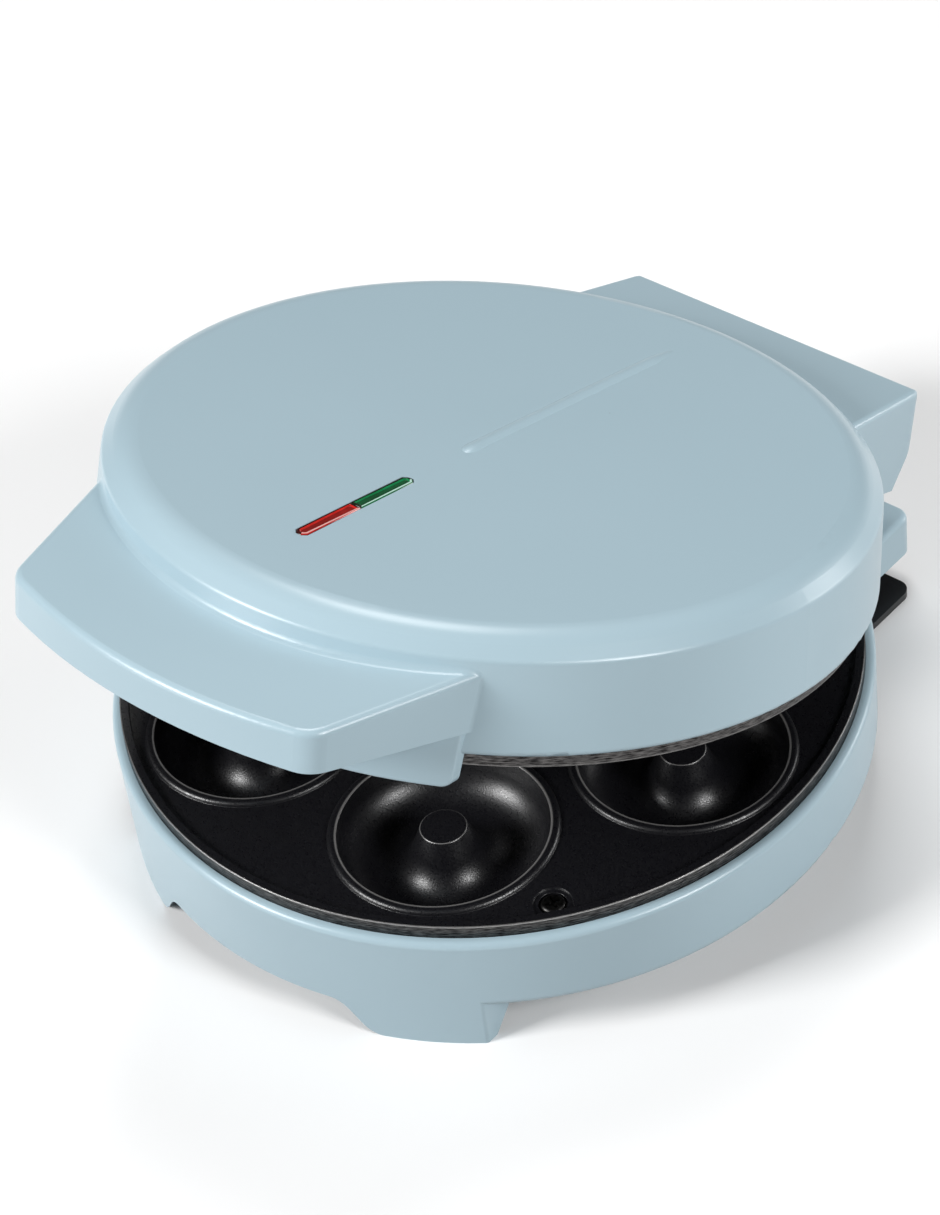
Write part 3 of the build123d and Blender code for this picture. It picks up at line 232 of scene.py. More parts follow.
def worked_metal(name, shade, deep_shade, roughness, scale, relief, stretch=(1, 1, 1)):
    finish, made, links, shader, place = new_finish(name)
    shader.inputs["Metallic"].default_value = 1.0
    lay = put(made, "ShaderNodeMapping", in_Scale=stretch)
    links.new(place, lay.inputs["Vector"])
    drawn = grain_of(made, links, lay.outputs["Vector"], scale, 4.0)
    links.new(tint(made, links, drawn, deep_shade, shade), shader.inputs["Base Color"])
    links.new(spread(made, links, drawn, *roughness), shader.inputs["Roughness"])
    emboss(made, links, shader, drawn, relief, distance=0.0001)
    return finish


element_sheath = worked_metal(
    "element_sheath", shade=(0.20, 0.17, 0.15), deep_shade=(0.09, 0.08, 0.085),
    roughness=(0.42, 0.6), scale=160.0, relief=0.2)
plated_strip = worked_metal(
    "plated_strip", shade=(0.62, 0.61, 0.58), deep_shade=(0.48, 0.47, 0.45),
    roughness=(0.26, 0.38), scale=700.0, relief=0.1, stretch=(1, 0.1, 1))
shield_sheet = worked_metal(
    "aluminised_sheet", shade=(0.66, 0.67, 0.68), deep_shade=(0.55, 0.56, 0.57),
    roughness=(0.3, 0.42), scale=240.0, relief=0.08, stretch=(1, 0.15, 1))
zinc_plate = worked_metal(
    "zinc_plated_screws", shade=(0.64, 0.63, 0.60), deep_shade=(0.50, 0.50, 0.48),
    roughness=(0.2, 0.32), scale=900.0, relief=0.1)
fuse_can = worked_metal(
    "nickelled_can", shade=(0.58, 0.56, 0.52), deep_shade=(0.44, 0.43, 0.41),
    roughness=(0.22, 0.34), scale=500.0, relief=0.08)
dress(element_sheath, "lower_heating_element")
dress(plated_strip, "lower_element_clamps")
dress(zinc_plate, "lower_clamp_screws")
dress(shield_sheet, "lower_heat_shield")
dress(fuse_can, "thermal_fuse")

white_block = moulded_plastic(
    "terminal_block_nylon", shade=(0.72, 0.71, 0.68), deep_shade=(0.66, 0.65, 0.62),
    gloss=(0.4, 0.5), grain_strength=0.1, speck_shade=(0.5, 0.49, 0.46))
dress(white_block, "terminal_block")


# A function that adds one math node to a tree, from numbers or sockets
def wire_maths(made, links):
    def maths(operation, *values):
        node = put(made, "ShaderNodeMath", operation=operation)
        for socket, value in zip(node.inputs, values):
            if isinstance(value, (int, float)):
                socket.default_value = value
            else:
                links.new(value, socket)
        return node.outputs[0]
    return maths


def braided_glass(name, strand, gap, pitch):
    finish, made, links, shader, place = new_finish(name)
    plait_directions = ((1, 1, 0.6), (1, -1, -0.6))
    heights = []
    for direction in plait_directions:
        lay = put(made, "ShaderNodeMapping", in_Scale=direction)
        links.new(place, lay.inputs["Vector"])
        plait = put(
            made, "ShaderNodeTexWave", bands_direction="DIAGONAL", in_Scale=pitch, in_Distortion=0.4)
        links.new(lay.outputs["Vector"], plait.inputs["Vector"])
        heights.append(plait.outputs["Fac"])
    woven = wire_maths(made, links)("MAXIMUM", *heights)
    links.new(tint(made, links, woven, gap, strand), shader.inputs["Base Color"])
    links.new(spread(made, links, woven, 0.75, 0.55), shader.inputs["Roughness"])
    emboss(made, links, shader, woven, 0.5)
    return finish


wire_braid = braided_glass(
    "wire_glass_braid", strand=(0.60, 0.58, 0.52), gap=(0.34, 0.32, 0.28), pitch=420.0)
lead_sleeve = braided_glass(
    "lead_sleeve_braid", strand=(0.020, 0.020, 0.021), gap=(0.006, 0.006, 0.006), pitch=300.0)
dress(wire_braid, "base_wiring")
dress(lead_sleeve, "base_lead_sleeve")


# ---- Lower cooking plate ----
# Cast aluminium with seven ring moulds, sprayed with a black non-stick coat that sparkles where
# light strikes it. Its rim is turned after coating, so brushed grey metal shows on the side wall.

parting_z = 0.0458


def nonstick_coat(name, turn, shift, corner_wear_and_highlight):
    corner_start, wall_start, wall_full = 0.10865, 0.10880, 0.10890
    lip_worn_and_highlit, lip_coated = 0.00185, 0.00215
    mark_scale, flake_scale, edge_round = (34.0, 2600.0, 1.0), 2300.0, 0.00035
    bare_metal = (0.55, 0.54, 0.53)
    finish, made, links, shader, place = new_finish(name)
    centred = put(made, "ShaderNodeMapping", in_Rotation=turn, in_Location=shift)
    links.new(place, centred.inputs["Vector"])
    parts = put(made, "ShaderNodeSeparateXYZ")
    links.new(centred.outputs["Vector"], parts.inputs["Vector"])
    x, y, z = parts.outputs
    flat = put(made, "ShaderNodeCombineXYZ")
    links.new(x, flat.inputs["X"])
    links.new(y, flat.inputs["Y"])
    length = put(made, "ShaderNodeVectorMath", operation="LENGTH")
    links.new(flat.outputs["Vector"], length.inputs[0])
    radius = length.outputs["Value"]
    maths = wire_maths(made, links)
    wall = spread(made, links, radius, 0.0, 1.0, wall_start, wall_full)
    # Bare metal colour, lighter than the coat, is painted on the outer corner and on the edges of the moulds:
    # partly wear of the coat, partly a painted highlight line along these edges
    outermost = spread(made, links, radius, 0.0, 1.0, corner_start, wall_start)
    from_parting = maths("ABSOLUTE", maths("SUBTRACT", z, parting_z))
    lip = spread(made, links, from_parting, corner_wear_and_highlight, 0.0, lip_worn_and_highlit, lip_coated)
    corner = maths("MULTIPLY", outermost, lip)
    wear_and_highlight = put(made, "ShaderNodeAttribute", attribute_name="wear_and_highlight").outputs["Fac"]
    bare_and_highlit = maths("MAXIMUM", corner, wear_and_highlight)
    # Turning marks run round the wall
    lay = put(made, "ShaderNodeCombineXYZ")
    links.new(maths("ARCTAN2", y, x), lay.inputs["X"])
    links.new(z, lay.inputs["Y"])
    stretched = put(made, "ShaderNodeMapping", in_Scale=mark_scale)
    links.new(lay.outputs["Vector"], stretched.inputs["Vector"])
    marks = grain_of(made, links, stretched.outputs["Vector"], 1.0, 4.0)
    flake = grain_of(made, links, centred.outputs["Vector"], flake_scale, 2.0)
    coat_tint = tint(made, links, flake, (0.0026, 0.0026, 0.0038), (0.0075, 0.0075, 0.0095))
    streak = spread(made, links, marks, 0.0, 1.0)
    wall_tint = tint(made, links, streak, (0.006, 0.0055, 0.006), (0.125, 0.12, 0.118))
    coated = tint(made, links, wall, coat_tint, wall_tint)
    links.new(tint(made, links, bare_and_highlit, coated, bare_metal), shader.inputs["Base Color"])
    links.new(spread(made, links, flake, 0.27, 0.42), shader.inputs["Roughness"])
    shader.inputs["Specular IOR Level"].default_value = 0.75
    links.new(maths("MAXIMUM", wall, bare_and_highlit), shader.inputs["Metallic"])
    relief = emboss(made, links, shader, flake, 0.30)
    # The coat is thick enough to round off every sharp edge of the casting
    soft_edge = put(made, "ShaderNodeBevel", samples=6, in_Radius=edge_round)
    links.new(soft_edge.outputs[0], relief.inputs["Normal"])
    return finish


def new_tree(name, inputs, output):
    tree = bpy.data.node_groups.new(name, "GeometryNodeTree")
    for label, kind in inputs:
        tree.interface.new_socket(label, in_out="INPUT", socket_type="NodeSocket" + kind)
    tree.interface.new_socket(output, in_out="OUTPUT", socket_type="NodeSocketGeometry")
    given = put(tree.nodes, "NodeGroupInput").outputs
    return tree, tree.nodes, tree.links, given, put(tree.nodes, "NodeGroupOutput").inputs[0]


def close_tree(made, links, instances, finish, result):
    solid = put(made, "GeometryNodeRealizeInstances")
    links.new(instances, solid.inputs[0])
    finished = put(made, "GeometryNodeSetMaterial")
    links.new(solid.outputs[0], finished.inputs["Geometry"])
    links.new(finish, finished.inputs["Material"])
    links.new(finished.outputs[0], result)


# The mesh that a geometry tree grows from points and edges, with the wanted socket values
def grown_mesh(tree, name, points, edges, wanted):
    seed_mesh = bpy.data.meshes.new(name + "_seed")
    seed_mesh.from_pydata(points, edges, [])
    holder = bpy.data.objects.new(name + "_seed", seed_mesh)
    bpy.context.scene.collection.objects.link(holder)
    grower = holder.modifiers.new("grow", "NODES")
    grower.node_group = tree
    for socket in tree.interface.items_tree:
        if socket.name in wanted:
            grower[socket.identifier] = wanted[socket.name]
    bpy.context.view_layer.update()
    mesh = bpy.data.meshes.new_from_object(holder.evaluated_get(bpy.context.evaluated_depsgraph_get()))
    holder.modifiers.remove(grower)
    bpy.data.objects.remove(holder)
    return mesh


# One mould's profile, turned about its own axis, in the middle and at six places round it
def ring_mould_tree():
    tree, made, links, given, result = new_tree("ring_moulds", (
        ("Profile", "Geometry"), ("Profile Rows", "Int"), ("Facets", "Int"), ("Moulds Around", "Int"),
        ("Ring Radius", "Float"), ("Finish", "Material")), "Moulds")
    maths = wire_maths(made, links)
    grid = put(made, "GeometryNodeMeshGrid")
    links.new(maths("ADD", given["Facets"], 1.0), grid.inputs["Vertices X"])
    links.new(given["Profile Rows"], grid.inputs["Vertices Y"])
    spot = put(made, "GeometryNodeInputPosition").outputs[0]
    place = put(made, "ShaderNodeSeparateXYZ")
    links.new(spot, place.inputs[0])
    bearing = maths("MULTIPLY_ADD", place.outputs["X"], 2 * math.pi, math.pi)
    last_row = maths("SUBTRACT", given["Profile Rows"], 1.0)
    row = maths("ROUND", maths("MULTIPLY", maths("ADD", place.outputs["Y"], 0.5), last_row))
    sample = put(made, "GeometryNodeSampleIndex", data_type="FLOAT_VECTOR", domain="POINT")
    links.new(given["Profile"], sample.inputs["Geometry"])
    links.new(spot, sample.inputs["Value"])
    links.new(row, sample.inputs["Index"])
    outline = put(made, "ShaderNodeSeparateXYZ")
    links.new(sample.outputs[0], outline.inputs[0])
    turned = put(made, "ShaderNodeCombineXYZ")
    links.new(maths("MULTIPLY", outline.outputs["X"], maths("COSINE", bearing)), turned.inputs["X"])
    links.new(maths("MULTIPLY", outline.outputs["X"], maths("SINE", bearing)), turned.inputs["Y"])
    links.new(outline.outputs["Z"], turned.inputs["Z"])
    wrap = put(made, "GeometryNodeSetPosition")
    links.new(grid.outputs["Mesh"], wrap.inputs["Geometry"])
    links.new(turned.outputs[0], wrap.inputs["Position"])
    closed = put(made, "GeometryNodeMergeByDistance", in_Distance=0.000001)
    links.new(wrap.outputs[0], closed.inputs["Geometry"])
    around = put(made, "GeometryNodeMeshCircle")
    links.new(given["Moulds Around"], around.inputs["Vertices"])
    links.new(given["Ring Radius"], around.inputs["Radius"])
    outer = put(made, "GeometryNodeMeshToPoints")
    links.new(around.outputs["Mesh"], outer.inputs["Mesh"])
    places = put(made, "GeometryNodeJoinGeometry")
    links.new(outer.outputs[0], places.inputs[0])
    links.new(put(made, "GeometryNodePoints").outputs[0], places.inputs[0])
    laid = put(made, "GeometryNodeInstanceOnPoints")
    links.new(places.outputs[0], laid.inputs["Points"])
    links.new(closed.outputs[0], laid.inputs["Instance"])
    close_tree(made, links, laid.outputs[0], given["Finish"], result)
    return tree


# Sizes of a mould, as reach from its axis and height over the plate's flat
moulds_around, mould_ring_radius, mould_reach, mould_facets = 6, 0.0714, 0.0326, 120
post_radius, post_top_z, post_foot = 0.0066, 0.0010, (0.0090, -0.0052)
post_edge_reach, post_edge_round, post_lean = 0.006292, 0.00045, 21.2
post_flank = [(0.0068, 0.000483), (0.0074, -0.001067), (0.0082, -0.003133)]
trough_radius, trough_low_z, foot_curve, wall_curve = 0.0186, -0.0130, 0.0098077, 0.0114
foot_start, wall_stop = 191.81, 346
bead_foot, bead_inner_edge, bead_inner_round = (0.02985, -0.0002), (0.03015, 0.00093), 0.00027
bead_top, bead_outer_round, bead_sink_z = (0.0306, 0.00120), 0.0013, -0.00008
mould_profile = [
    (0, post_top_z), (0.003, post_top_z), (0.0055, post_top_z),
    *arc(post_edge_reach, post_top_z - post_edge_round, post_edge_round, 90, post_lean, 5), *post_flank,
    *arc(trough_radius, trough_low_z + foot_curve, foot_curve, foot_start, 270, 12),
    *arc(trough_radius, trough_low_z + wall_curve, wall_curve, 270, wall_stop, 18)[1:],
    bead_foot, *arc(*bead_inner_edge, bead_inner_round, 170, 90, 4), bead_top,
    *arc(mould_reach - bead_outer_round, bead_sink_z, bead_outer_round, 90, 0, 12)]
mould_bearings = [2 * math.pi * n / moulds_around for n in range(moulds_around)]
mould_centres = [(0, 0)] + [
    (mould_ring_radius * math.cos(angle), mould_ring_radius * math.sin(angle)) for angle in mould_bearings]
mould_tree = ring_mould_tree()
cad_mouth_radius, cad_bead_height = 0.0308, 0.0009


# Height of the CAD's cooking side, which tells the faces that make way for the turned moulds
def cooking_side(reach):
    if reach <= post_radius:
        return post_top_z
    foot_reach, foot_z = post_foot
    if reach <= foot_reach:
        return post_top_z + (reach - post_radius) * (foot_z - post_top_z) / (foot_reach - post_radius)
    if reach <= trough_radius:
        return trough_low_z + foot_curve - math.sqrt(foot_curve ** 2 - (reach - trough_radius) ** 2)
    if reach <= trough_radius + wall_curve:
        return trough_low_z + wall_curve - math.sqrt(max(wall_curve ** 2 - (reach - trough_radius) ** 2, 0))
    if reach <= cad_mouth_radius:
        return 2 * (reach - cad_mouth_radius)
    bead_middle = (cad_mouth_radius + mould_reach) / 2
    return math.sqrt(max(cad_bead_height ** 2 - (reach - bead_middle) ** 2, 0))


# Edges painted with bare metal, partly as wear and partly as a painted highlight line: reach from and to,
# height above, and share of bare metal
worn_highlit_edges = ((0.02990, 0.03016, 0.0009, 0.6), (0.00645, 0.00664, 0.0006, 0.4))


def cast_plate(name, node, body, finish, placement):
    plate_slack, close_slack, loose_slack = 0.00002, 0.00003, 0.0004
    plate = copy_of(node)
    wear_and_highlight = plate.verts.layers.float.new("wear_and_highlight")
    back = placement.inverted()
    in_mould = {}

    def mould_reach_of(place):
        return min(math.hypot(place.x - cx, place.y - cy) for cx, cy in mould_centres)

    for vert in plate.verts:
        place = back @ vert.co
        reach = mould_reach_of(place)
        # The wall stands upright where its curve ends, so heights are less sure there
        steep = abs(reach - trough_radius - wall_curve) < tolerance
        off_side = abs(place.z - cooking_side(min(reach, mould_reach)))
        on_side = off_side < (loose_slack if steep else close_slack)
        in_mould[vert] = reach < mould_reach + plate_slack and on_side
    old_faces = [
        f for f in plate.faces
        if all(in_mould[v] for v in f.verts) and mould_reach_of(back @ f.calc_center_median()) < mould_reach]
    bmesh.ops.delete(plate, geom=old_faces, context="FACES")
    outline = [(r, 0, z) for r, z in mould_profile]
    moulds = grown_mesh(mould_tree, name, outline, [(i, i + 1) for i in range(len(outline) - 1)], {
        "Profile Rows": len(outline), "Facets": mould_facets, "Moulds Around": moulds_around,
        "Ring Radius": mould_ring_radius, "Finish": finish})
    if sum(polygon.normal.z * polygon.area for polygon in moulds.polygons) < 0:
        moulds.flip_normals()
    moulds.transform(placement)
    plate.from_mesh(moulds)
    bpy.data.meshes.remove(moulds)
    # Mark the edges painted with bare metal, as wear and as a painted highlight line
    for vert in plate.verts:
        place = back @ vert.co
        reach = mould_reach_of(place)
        for start, stop, low_z, share in worn_highlit_edges:
            if start < reach < stop and place.z > low_z:
                vert[wear_and_highlight] = share
    piece_of(plate, name, finish, body, node)


plate_flat_z = 0.0428
# This plate's outer corner gets a strong share of bare metal, as wear and as a painted highlight line
cast_plate(
    "lower_cooking_plate_casting", "lower_cooking_plate", "base",
    nonstick_coat("lower_plate_coat", turn=(0, 0, 0), shift=(0, -body_axis_y, 0), corner_wear_and_highlight=0.6),
    Matrix.Translation((0, body_axis_y, plate_flat_z)))


# ---- Screws of the base ----
# Pan-head screws with a cross recess: four blackened ones hold the lower plate down in its
# pockets, and two zinc-plated ones hold the rear stand up against the base.

def cross_head_tree():
    tree, made, links, given, result = new_tree("cross_head_screws", (
        ("Seats", "Geometry"), ("Head Radius", "Float"), ("Head Height", "Float"),
        ("Shank Radius", "Float"), ("Shank Length", "Float"),
        ("Recess Span", "Float"), ("Recess Width", "Float"), ("Recess Depth", "Float"),
        ("Axis", "Vector"), ("Turn Seed", "Int"), ("Finish", "Material")), "Screws")
    maths = wire_maths(made, links)
    # Head: a grid wrapped round the axis, its rows following a rounded pan profile
    grid = put(made, "GeometryNodeMeshGrid", in_Vertices_X=41, in_Vertices_Y=13)
    place = put(made, "ShaderNodeSeparateXYZ")
    links.new(put(made, "GeometryNodeInputPosition").outputs[0], place.inputs[0])
    bearing = maths("MULTIPLY_ADD", place.outputs["X"], 2 * math.pi, math.pi)
    along = maths("ADD", place.outputs["Y"], 0.5)
    dip = maths("MINIMUM", maths("MULTIPLY", along, 2 * math.pi / 3), math.pi / 2)
    rim = maths("SQRT", maths("SINE", dip))
    rise = maths("SQRT", maths("MAXIMUM", maths("COSINE", dip), 0.0))
    under = maths("SUBTRACT", 1.0, maths("MAXIMUM", maths("MULTIPLY_ADD", along, 4.0, -3.0), 0.0))
    reach = maths("MULTIPLY", maths("MULTIPLY", rim, under), given["Head Radius"])
    shape = put(made, "ShaderNodeCombineXYZ")
    links.new(maths("MULTIPLY", reach, maths("COSINE", bearing)), shape.inputs["X"])
    links.new(maths("MULTIPLY", reach, maths("SINE", bearing)), shape.inputs["Y"])
    links.new(maths("MULTIPLY", rise, given["Head Height"]), shape.inputs["Z"])
    wrap = put(made, "GeometryNodeSetPosition")
    links.new(grid.outputs["Mesh"], wrap.inputs["Geometry"])
    links.new(shape.outputs[0], wrap.inputs["Position"])
    closed = put(made, "GeometryNodeMergeByDistance", in_Distance=0.000002)
    links.new(wrap.outputs[0], closed.inputs["Geometry"])
    # Cross recess: two bars sunk into the head
    cut = put(made, "GeometryNodeMeshBoolean", operation="DIFFERENCE", solver="EXACT")
    links.new(closed.outputs[0], cut.inputs["Mesh 1"])
    for order in (("Recess Span", "Recess Width"), ("Recess Width", "Recess Span")):
        size = put(made, "ShaderNodeCombineXYZ")
        links.new(given[order[0]], size.inputs["X"])
        links.new(given[order[1]], size.inputs["Y"])
        links.new(maths("MULTIPLY", given["Recess Depth"], 2.0), size.inputs["Z"])
        bar = put(made, "GeometryNodeMeshCube")
        links.new(size.outputs[0], bar.inputs["Size"])
        lift = put(made, "ShaderNodeCombineXYZ")
        links.new(given["Head Height"], lift.inputs["Z"])
        raised = put(made, "GeometryNodeTransform")
        links.new(bar.outputs["Mesh"], raised.inputs["Geometry"])
        links.new(lift.outputs[0], raised.inputs["Translation"])
        links.new(raised.outputs[0], cut.inputs["Mesh 2"])
    shank = put(made, "GeometryNodeMeshCylinder", in_Vertices=20)
    links.new(given["Shank Radius"], shank.inputs["Radius"])
    links.new(given["Shank Length"], shank.inputs["Depth"])
    drop = put(made, "ShaderNodeCombineXYZ")
    links.new(maths("MULTIPLY", given["Shank Length"], -0.5), drop.inputs["Z"])
    lowered = put(made, "GeometryNodeTransform")
    links.new(shank.outputs["Mesh"], lowered.inputs["Geometry"])
    links.new(drop.outputs[0], lowered.inputs["Translation"])
    screw = put(made, "GeometryNodeJoinGeometry")
    links.new(cut.outputs["Mesh"], screw.inputs[0])
    links.new(lowered.outputs[0], screw.inputs[0])
    # One screw on each seat, turned as the driver left it
    seats = put(made, "GeometryNodeMeshToPoints")
    links.new(given["Seats"], seats.inputs["Mesh"])
    aimed = put(made, "FunctionNodeAlignRotationToVector", axis="Z")
    links.new(given["Axis"], aimed.inputs["Vector"])
    chance = put(made, "FunctionNodeRandomValue", data_type="FLOAT")
    chance.inputs[3].default_value = math.pi / 2
    links.new(given["Turn Seed"], chance.inputs["Seed"])
    twist = put(made, "FunctionNodeAxisAngleToRotation")
    twist.inputs["Axis"].default_value = (0, 0, 1)
    links.new(chance.outputs[1], twist.inputs["Angle"])
    driven = put(made, "FunctionNodeRotateRotation", rotation_space="LOCAL")
    links.new(aimed.outputs[0], driven.inputs["Rotation"])
    links.new(twist.outputs[0], driven.inputs["Rotate By"])
    laid = put(made, "GeometryNodeInstanceOnPoints")
    links.new(seats.outputs[0], laid.inputs["Points"])
    links.new(screw.outputs[0], laid.inputs["Instance"])
    links.new(driven.outputs[0], laid.inputs["Rotation"])
    close_tree(made, links, laid.outputs[0], given["Finish"], result)
    return tree


screw_tree = cross_head_tree()


def drive_screws(name, node, body, seats, axis, shank_length, finish, seed):
    screws = grown_mesh(screw_tree, name, seats, [], {
        "Head Radius": 0.0035, "Head Height": 0.0018, "Shank Radius": 0.0016, "Shank Length": shank_length,
        "Recess Span": 0.0044, "Recess Width": 0.0009, "Recess Depth": 0.0010,
        "Axis": axis, "Turn Seed": seed, "Finish": finish})
    shaped = bmesh.new()
    shaped.from_mesh(screws)
    bpy.data.meshes.remove(screws)
    bmesh.ops.recalc_face_normals(shaped, faces=shaped.faces)
    piece_of(shaped, name, finish, body, node)


blackened_steel = worked_metal(
    "blackened_steel", shade=(0.060, 0.058, 0.056), deep_shade=(0.030, 0.030, 0.030),
    roughness=(0.3, 0.42), scale=900.0, relief=0.15)
plate_screw_ring, plate_screw_length, lower_seat_z = 0.102, 0.012, 0.0412
plate_screw_bearings = [math.radians(angle) for angle in (-40, 40, 140, 220)]
plate_screw_plan = [
    (plate_screw_ring * math.cos(turn), plate_screw_ring * math.sin(turn)) for turn in plate_screw_bearings]
drive_screws(
    "lower_plate_cross_screws", "lower_plate_screws", "base",
    [(x, y + body_axis_y, lower_seat_z) for x, y in plate_screw_plan], axis=(0, 0, 1),
    shank_length=plate_screw_length, finish=blackened_steel, seed=4)
stand_screw_x, stand_screw_y, stand_seat_z = 0.024, 0.0765, 0.0118
drive_screws(
    "rear_stand_cross_screws", "cord_wrap_screws", "base",
    [(side * stand_screw_x, stand_screw_y, stand_seat_z) for side in (-1, 1)], axis=(0, 0, -1),
    shank_length=0.0052, finish=zinc_plate, seed=7)


# ---- Hinge pins and washers ----
# Two ground steel pins pass through the ears of the base and the lugs of the lid, with a pale
# nylon washer on each side to give the friction that holds the lid where it is left.

pin_steel = worked_metal(
    "ground_steel", shade=(0.60, 0.60, 0.61), deep_shade=(0.50, 0.50, 0.51),
    roughness=(0.14, 0.24), scale=1200.0, relief=0.05, stretch=(0.05, 1, 1))
washer_nylon = moulded_plastic(
    "washer_nylon", shade=(0.66, 0.64, 0.58), deep_shade=(0.60, 0.58, 0.52),
    gloss=(0.4, 0.52), grain_strength=0.06, speck_shade=(0.45, 0.43, 0.4))
dress(pin_steel, "hinge_pins")
dress(washer_nylon, "hinge_washers")


# ---- Lid shell and handle ----
# One blue moulding with wall, bevel, shallow dome, rib, front handle and rear hinge block. The
# handle is closed from below by a fitted cover of the same plastic, held with two screws.

dress(pastel_plastic, "lid_shell", "handle_underside")

hinge_place = Vector((0, 0.1165, 0.0482))
ajar_turn = math.radians(14.73)
lid_turn = Matrix.Rotation(-ajar_turn, 3, "X")


# A place on the lid, given as it lies with the lid level
def on_lid(x, y, z):
    return tuple(hinge_place + lid_turn @ (Vector((x, y, z)) - hinge_place))


lid_down = tuple(lid_turn @ Vector((0, 0, -1)))
lid_screw_length = 0.0086
handle_screw_x, handle_screw_y, handle_seat_z = 0.02715, -0.1332, 0.060
drive_screws(
    "handle_cross_screws", "handle_screws", "lid",
    [on_lid(side * handle_screw_x, handle_screw_y, handle_seat_z) for side in (-1, 1)], axis=lid_down,
    shank_length=lid_screw_length, finish=zinc_plate, seed=3)


# ---- Heating of the lid ----
# The lid holds a second plate, element and shield, turned over, with the thermostat in place of
# the fuse. Its wires reach the base through a braided sleeve beside the hinge.

turn_back = Matrix.Rotation(ajar_turn, 3, "X")
plate_shift = hinge_place - turn_back @ hinge_place + Vector((0, -body_axis_y, 0))
upper_flat_z, upper_seat_z = 2 * parting_z - plate_flat_z, 2 * parting_z - lower_seat_z
lid_stand = Matrix.Translation(hinge_place) @ lid_turn.to_4x4() @ Matrix.Translation(-hinge_place)
# This plate's outer corner gets only a faint share of bare metal, as wear and as a painted highlight line
cast_plate(
    "upper_cooking_plate_casting", "upper_cooking_plate", "lid",
    nonstick_coat("upper_plate_coat", turn=(ajar_turn, 0, 0), shift=tuple(plate_shift), corner_wear_and_highlight=0.15),
    lid_stand @ Matrix.Translation((0, body_axis_y, upper_flat_z)) @ Matrix.Rotation(math.pi, 4, "X"))
dress(element_sheath, "upper_heating_element")
dress(plated_strip, "upper_element_clamps")
dress(zinc_plate, "upper_clamp_screws")
dress(shield_sheet, "upper_heat_shield")
dress(fuse_can, "thermostat")
dress(white_block, "lid_terminal_block")
dress(wire_braid, "lid_wiring")
dress(lead_sleeve, "lid_lead_sleeve")
drive_screws(
    "upper_plate_cross_screws", "upper_plate_screws", "lid",
    [on_lid(x, y + body_axis_y, upper_seat_z) for x, y in plate_screw_plan], axis=lid_down,
    shank_length=plate_screw_length, finish=blackened_steel, seed=9)


# ---- Hinge cover and pin caps ----
# Black plastic: a cover screwed up into the lid's hinge block from below, and a round cap pushed
# on to each end of the pins.

dress(black_plastic, "hinge_cover", "hinge_pin_caps")
cover_screw_x, cover_screw_y, cover_seat_z = 0.020, 0.1215, 0.0565
drive_screws(
    "hinge_cover_cross_screws", "hinge_cover_screws", "lid",
    [on_lid(side * cover_screw_x, cover_screw_y, cover_seat_z) for side in (-1, 1)], axis=lid_down,
    shank_length=lid_screw_length, finish=zinc_plate, seed=5)


# ---- Indicator ----
# A red and a green lens of clear tinted plastic, end to end in the dome's slot, each a shallow
# tray with rounded edges. A small glass lamp in a black holder lights each from below.

def tinted_lens(name, shade, deep_shade, painted_highlight_shade):
    painted_dark_facet, flow_scale = (0.012, 0.006, 0.005), 260.0
    finish, made, links, shader, place = new_finish(name)
    flow = grain_of(made, links, place, flow_scale)
    # Painted light and shade: each facet is painted darker or brighter by the light value it carries, and the
    # brightest facets get a painted highlight in a pale colour
    facet = put(made, "ShaderNodeAttribute", attribute_name="painted_facet_light").outputs["Fac"]
    cast = spread(made, links, flow, 0.0, 1.0)
    bright = tint(made, links, cast, deep_shade, shade)
    shaded = tint(made, links, facet, painted_dark_facet, bright)
    painted_glint = spread(made, links, facet, 0.0, 1.0, 1.0, 2.0)
    links.new(tint(made, links, painted_glint, shaded, painted_highlight_shade), shader.inputs["Base Color"])
    links.new(spread(made, links, flow, 0.12, 0.16), shader.inputs["Roughness"])
    shader.inputs["IOR"].default_value = 1.49
    shader.inputs["Coat Weight"].default_value = 0.6
    shader.inputs["Coat Roughness"].default_value = 0.12
    emboss(made, links, shader, flow, 0.02)
    return finish


